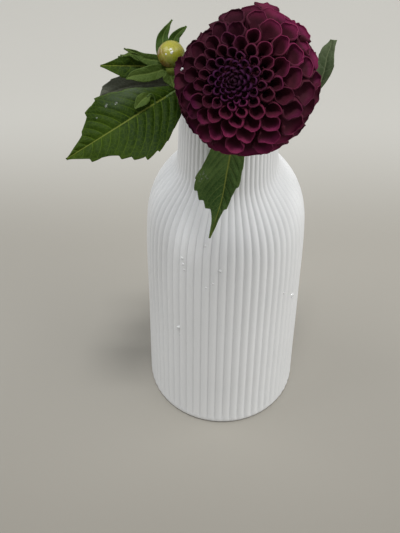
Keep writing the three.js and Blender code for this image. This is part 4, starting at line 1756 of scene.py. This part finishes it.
@dataclass(frozen=True)
class PhotoCamera:
    """The photograph's viewpoint, for a frame of 400 by 533 pixels."""

    position_mm: Point = (-14.04, -390.24, 527.1)
    pitch_down: float = math.radians(47.9)
    roll: float = math.radians(-0.38)
    focal_px: float = 1000.0
    frame_width: int = 400
    frame_height: int = 533
    sensor_mm: float = 36.0

    def axes(self) -> tuple[Vector, Vector, Vector]:
        """The camera's own directions.

        Returns:
            The ways to the image's right, to its foot and into the scene.
        """
        forward = Vector((0, math.cos(self.pitch_down), -math.sin(self.pitch_down)))
        down = Vector((0, -math.sin(self.pitch_down), -math.cos(self.pitch_down)))
        right = Vector((1, 0, 0))
        c, s = math.cos(self.roll), math.sin(self.roll)
        return right * c + down * s, down * c - right * s, forward

    def ray(self, x: float, y: float) -> Vector:
        """Direction through a pixel of the photograph.

        Args:
            x: Pixel across.
            y: Pixel down.

        Returns:
            The direction from the camera.
        """
        right, down, forward = self.axes()
        return (forward + right * ((x - 0.5 * self.frame_width) / self.focal_px)
                + down * ((y - 0.5 * self.frame_height) / self.focal_px)).normalized()

    def build(self) -> None:
        """Adds the camera and makes it the scene's."""
        right, down, forward = self.axes()
        data = bpy.data.cameras.new("photo_camera")
        data.sensor_fit = "VERTICAL"
        data.sensor_height = self.sensor_mm
        data.lens = self.sensor_mm * self.focal_px / self.frame_height
        data.clip_start, data.clip_end = 0.01, 20
        camera = bpy.data.objects.new("photo_camera", data)
        bpy.context.scene.collection.objects.link(camera)
        turn = Matrix((right, -down, -forward)).transposed().to_4x4()
        camera.matrix_world = Matrix.Translation(Vector(self.position_mm) * MM) @ turn
        bpy.context.scene.camera = camera


@dataclass
class WaterDrops:
    """Small drops that cling to the vase, the bud, a petal and the leaves.

    Each is given as the photograph's pixel that it lies behind, in 400 by 533, and its radius.
    """

    camera: PhotoCamera
    bright: dict[str, tuple[Point, ...]] = field(default_factory=lambda: {
        "ribbed_vase": ((179, 327, 1.2), (292, 295, 1.3), (220, 271, 0.9), (205, 246, 0.6),
                        (182, 258, 0.8), (183, 264, 0.6), (184, 270, 0.5), (213, 284, 0.6),
                        (206, 288, 0.5), (284, 293, 0.6), (180, 335, 0.5)),
        "closed_bud": ((170.6, 49.2, 0.5), (171.4, 52.8, 0.65), (172.4, 51.6, 0.5), (166.0, 54.2, 0.4)),
        "pompon_bloom": ((182.4, 68.6, 0.5), (181.4, 69.8, 0.5))})
    faint: dict[str, tuple[Point, ...]] = field(default_factory=lambda: {
        "large_left_leaf": ((106, 106.5, 0.6), (106.6, 104.6, 0.4), (116.5, 103, 0.55),
                            (115.4, 104.4, 0.4), (96.6, 118, 0.4)),
        "front_leaf": ((203, 174, 0.5), (205.6, 176, 0.5), (201.5, 178.4, 0.5), (199.6, 181, 0.4),
                       (196.4, 176, 0.45), (207.4, 178.6, 0.4), (203.6, 171.8, 0.4), (200.2, 174.2, 0.4))})

    def _touch(self, name: str, x: float, y: float) -> tuple[Vector, Vector]:
        """Where a pixel's ray meets a piece.

        Args:
            name: Name of the piece.
            x: Pixel across the photograph.
            y: Pixel down the photograph.

        Returns:
            The place in millimetres, and the surface's direction out.
        """
        eye, ray = Vector(self.camera.position_mm) * MM, self.camera.ray(x, y)
        found, place, out, _ = bpy.data.objects[name].ray_cast(eye, ray)
        if not found:
            raise ValueError(f"no {name} at pixel {x}, {y}")
        return place / MM, out

    def _drop(self, place: Vector, out: Vector, radius: float) -> bpy.types.Object:
        """One flattened drop that sits on a surface and sags a little.

        Args:
            place: Its middle on the surface, in millimetres.
            out: The surface's direction out.
            radius: Its radius in millimetres.

        Returns:
            The drop.
        """
        piece = ball(20, 12)
        turn = turn_to(out)
        for vertex in piece.data.vertices:
            x, y, z = vertex.co
            spot = turn @ Vector((x, y, max(0.62 * z, -0.25)))
            spot.z -= 0.35 * max(-spot.z, 0) * (1 - abs(out.z))
            vertex.co = (place + spot * radius) * MM
        return piece

    def dress(self) -> None:
        """Builds and finishes the drops."""
        bpy.context.view_layer.update()
        groups = ((self.bright, DropWater("bright_drop", 0.6)), (self.faint, DropWater("faint_drop", 0.14)))
        parts = []
        for group, finish in groups:
            touched = [(*self._touch(name, x, y), r) for name, spots in group.items() for x, y, r in spots]
            drops = join([self._drop(*spot) for spot in touched], finish.name)
            parts.append(coat(drops, finish.make()))
        hand_in(join(parts, "water_drops"), Slot.WATER)


@dataclass
class Studio:
    """Pale plain floor, and soft light from a window on the right, the ceiling and the left, in metres."""

    near_shade_colour: Colour = (0.235, 0.220, 0.190)
    floor_colour: Colour = (0.335, 0.318, 0.282)
    far_colour: Colour = (0.50, 0.49, 0.455)
    cloud_colour: Colour = (0.34, 0.328, 0.298)
    near_band: Pair = (-0.18, 0.03)  # the floor changes from one colour to the next over these Y
    far_band: Pair = (0.10, 0.26)
    floor_size: float = 8.0
    floor_drop: float = 0.0002  # keeps the floor just clear of the foot
    aim: Point = (0.0, 0.0, 0.14)

    def _floor(self) -> None:
        """A wide pale floor at the foot of the vase, darker towards the front by painted shade."""
        deselect()
        bpy.ops.mesh.primitive_plane_add(size=self.floor_size, location=(0, 0, -self.floor_drop))
        floor = bpy.context.object
        floor.name = "floor"
        r = Recipe("pale_floor")
        y = r.along_y()
        # painted shade: the floor darkens towards the front
        ground = r.mix(r.step(y, *self.near_band), self.near_shade_colour, self.floor_colour)
        ground = r.mix(r.step(y, *self.far_band), ground, self.far_colour)
        cloud = r.times(r.step(r.noise(3, 2), 0.2, 0.8), 0.12)
        r.put("Base Color", r.mix(cloud, ground, self.cloud_colour))
        r.put("Roughness", 0.9)
        coat(floor, r.material)

    def _lamp(self, name: str, place: Point, size: float, power: float, colour: Colour) -> None:
        """A square soft light that looks at the vase's shoulder.

        Args:
            name: Name of the light.
            place: Where it stands, in metres.
            size: Length of its side, in metres.
            power: Power in watts.
            colour: Its colour.
        """
        data = bpy.data.lights.new(name, "AREA")
        data.size = size
        data.energy = power
        data.color = colour
        lamp = bpy.data.objects.new(name, data)
        bpy.context.scene.collection.objects.link(lamp)
        lamp.location = place
        look = Vector(self.aim) - Vector(place)
        lamp.rotation_euler = look.to_track_quat("-Z", "Y").to_euler()

    def build(self) -> None:
        """Adds the floor, the lights and the surrounding light."""
        self._floor()
        self._lamp("window", (1.35, -0.25, 1.25), 1.7, 18.5, (1.0, 0.99, 0.97))
        self._lamp("ceiling", (0.0, -0.5, 2.1), 0.25, 19, (1.0, 1.0, 0.99))
        self._lamp("left_fill", (-1.2, 0.0, 1.7), 1.2, 13, (0.99, 1.0, 1.0))
        world = bpy.data.worlds.new("room")
        bpy.context.scene.world = world
        world.use_nodes = True
        background = world.node_tree.nodes["Background"]
        background.inputs["Color"].default_value = (0.97, 0.98, 1.0, 1)
        background.inputs["Strength"].default_value = 0.40
        bpy.context.scene.view_settings.view_transform = "Standard"


def write_sizes() -> None:
    """Brings the scene's placements up to date."""
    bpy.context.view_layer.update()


def main() -> None:
    """Builds every piece in order."""
    logging.basicConfig(level=logging.INFO, format="%(message)s")
    deselect()
    camera = PhotoCamera()
    camera.build()
    Studio().build()
    RibbedVase().dress()
    FlowerStem().dress()
    leaf_stalk = Stalk("leaf_stalk", (0.045, 0.085, 0.015), (0.075, 0.125, 0.025), (0.07, 0.06, 0.025))
    stalk_finish = leaf_stalk.make()
    for leaf in leaves():
        leaf.dress(stalk_finish)
    PomponBloom().dress()
    ClosedBud().dress()
    WaterDrops(camera).dress()
    write_sizes()


if __name__ == "__main__":
    main()
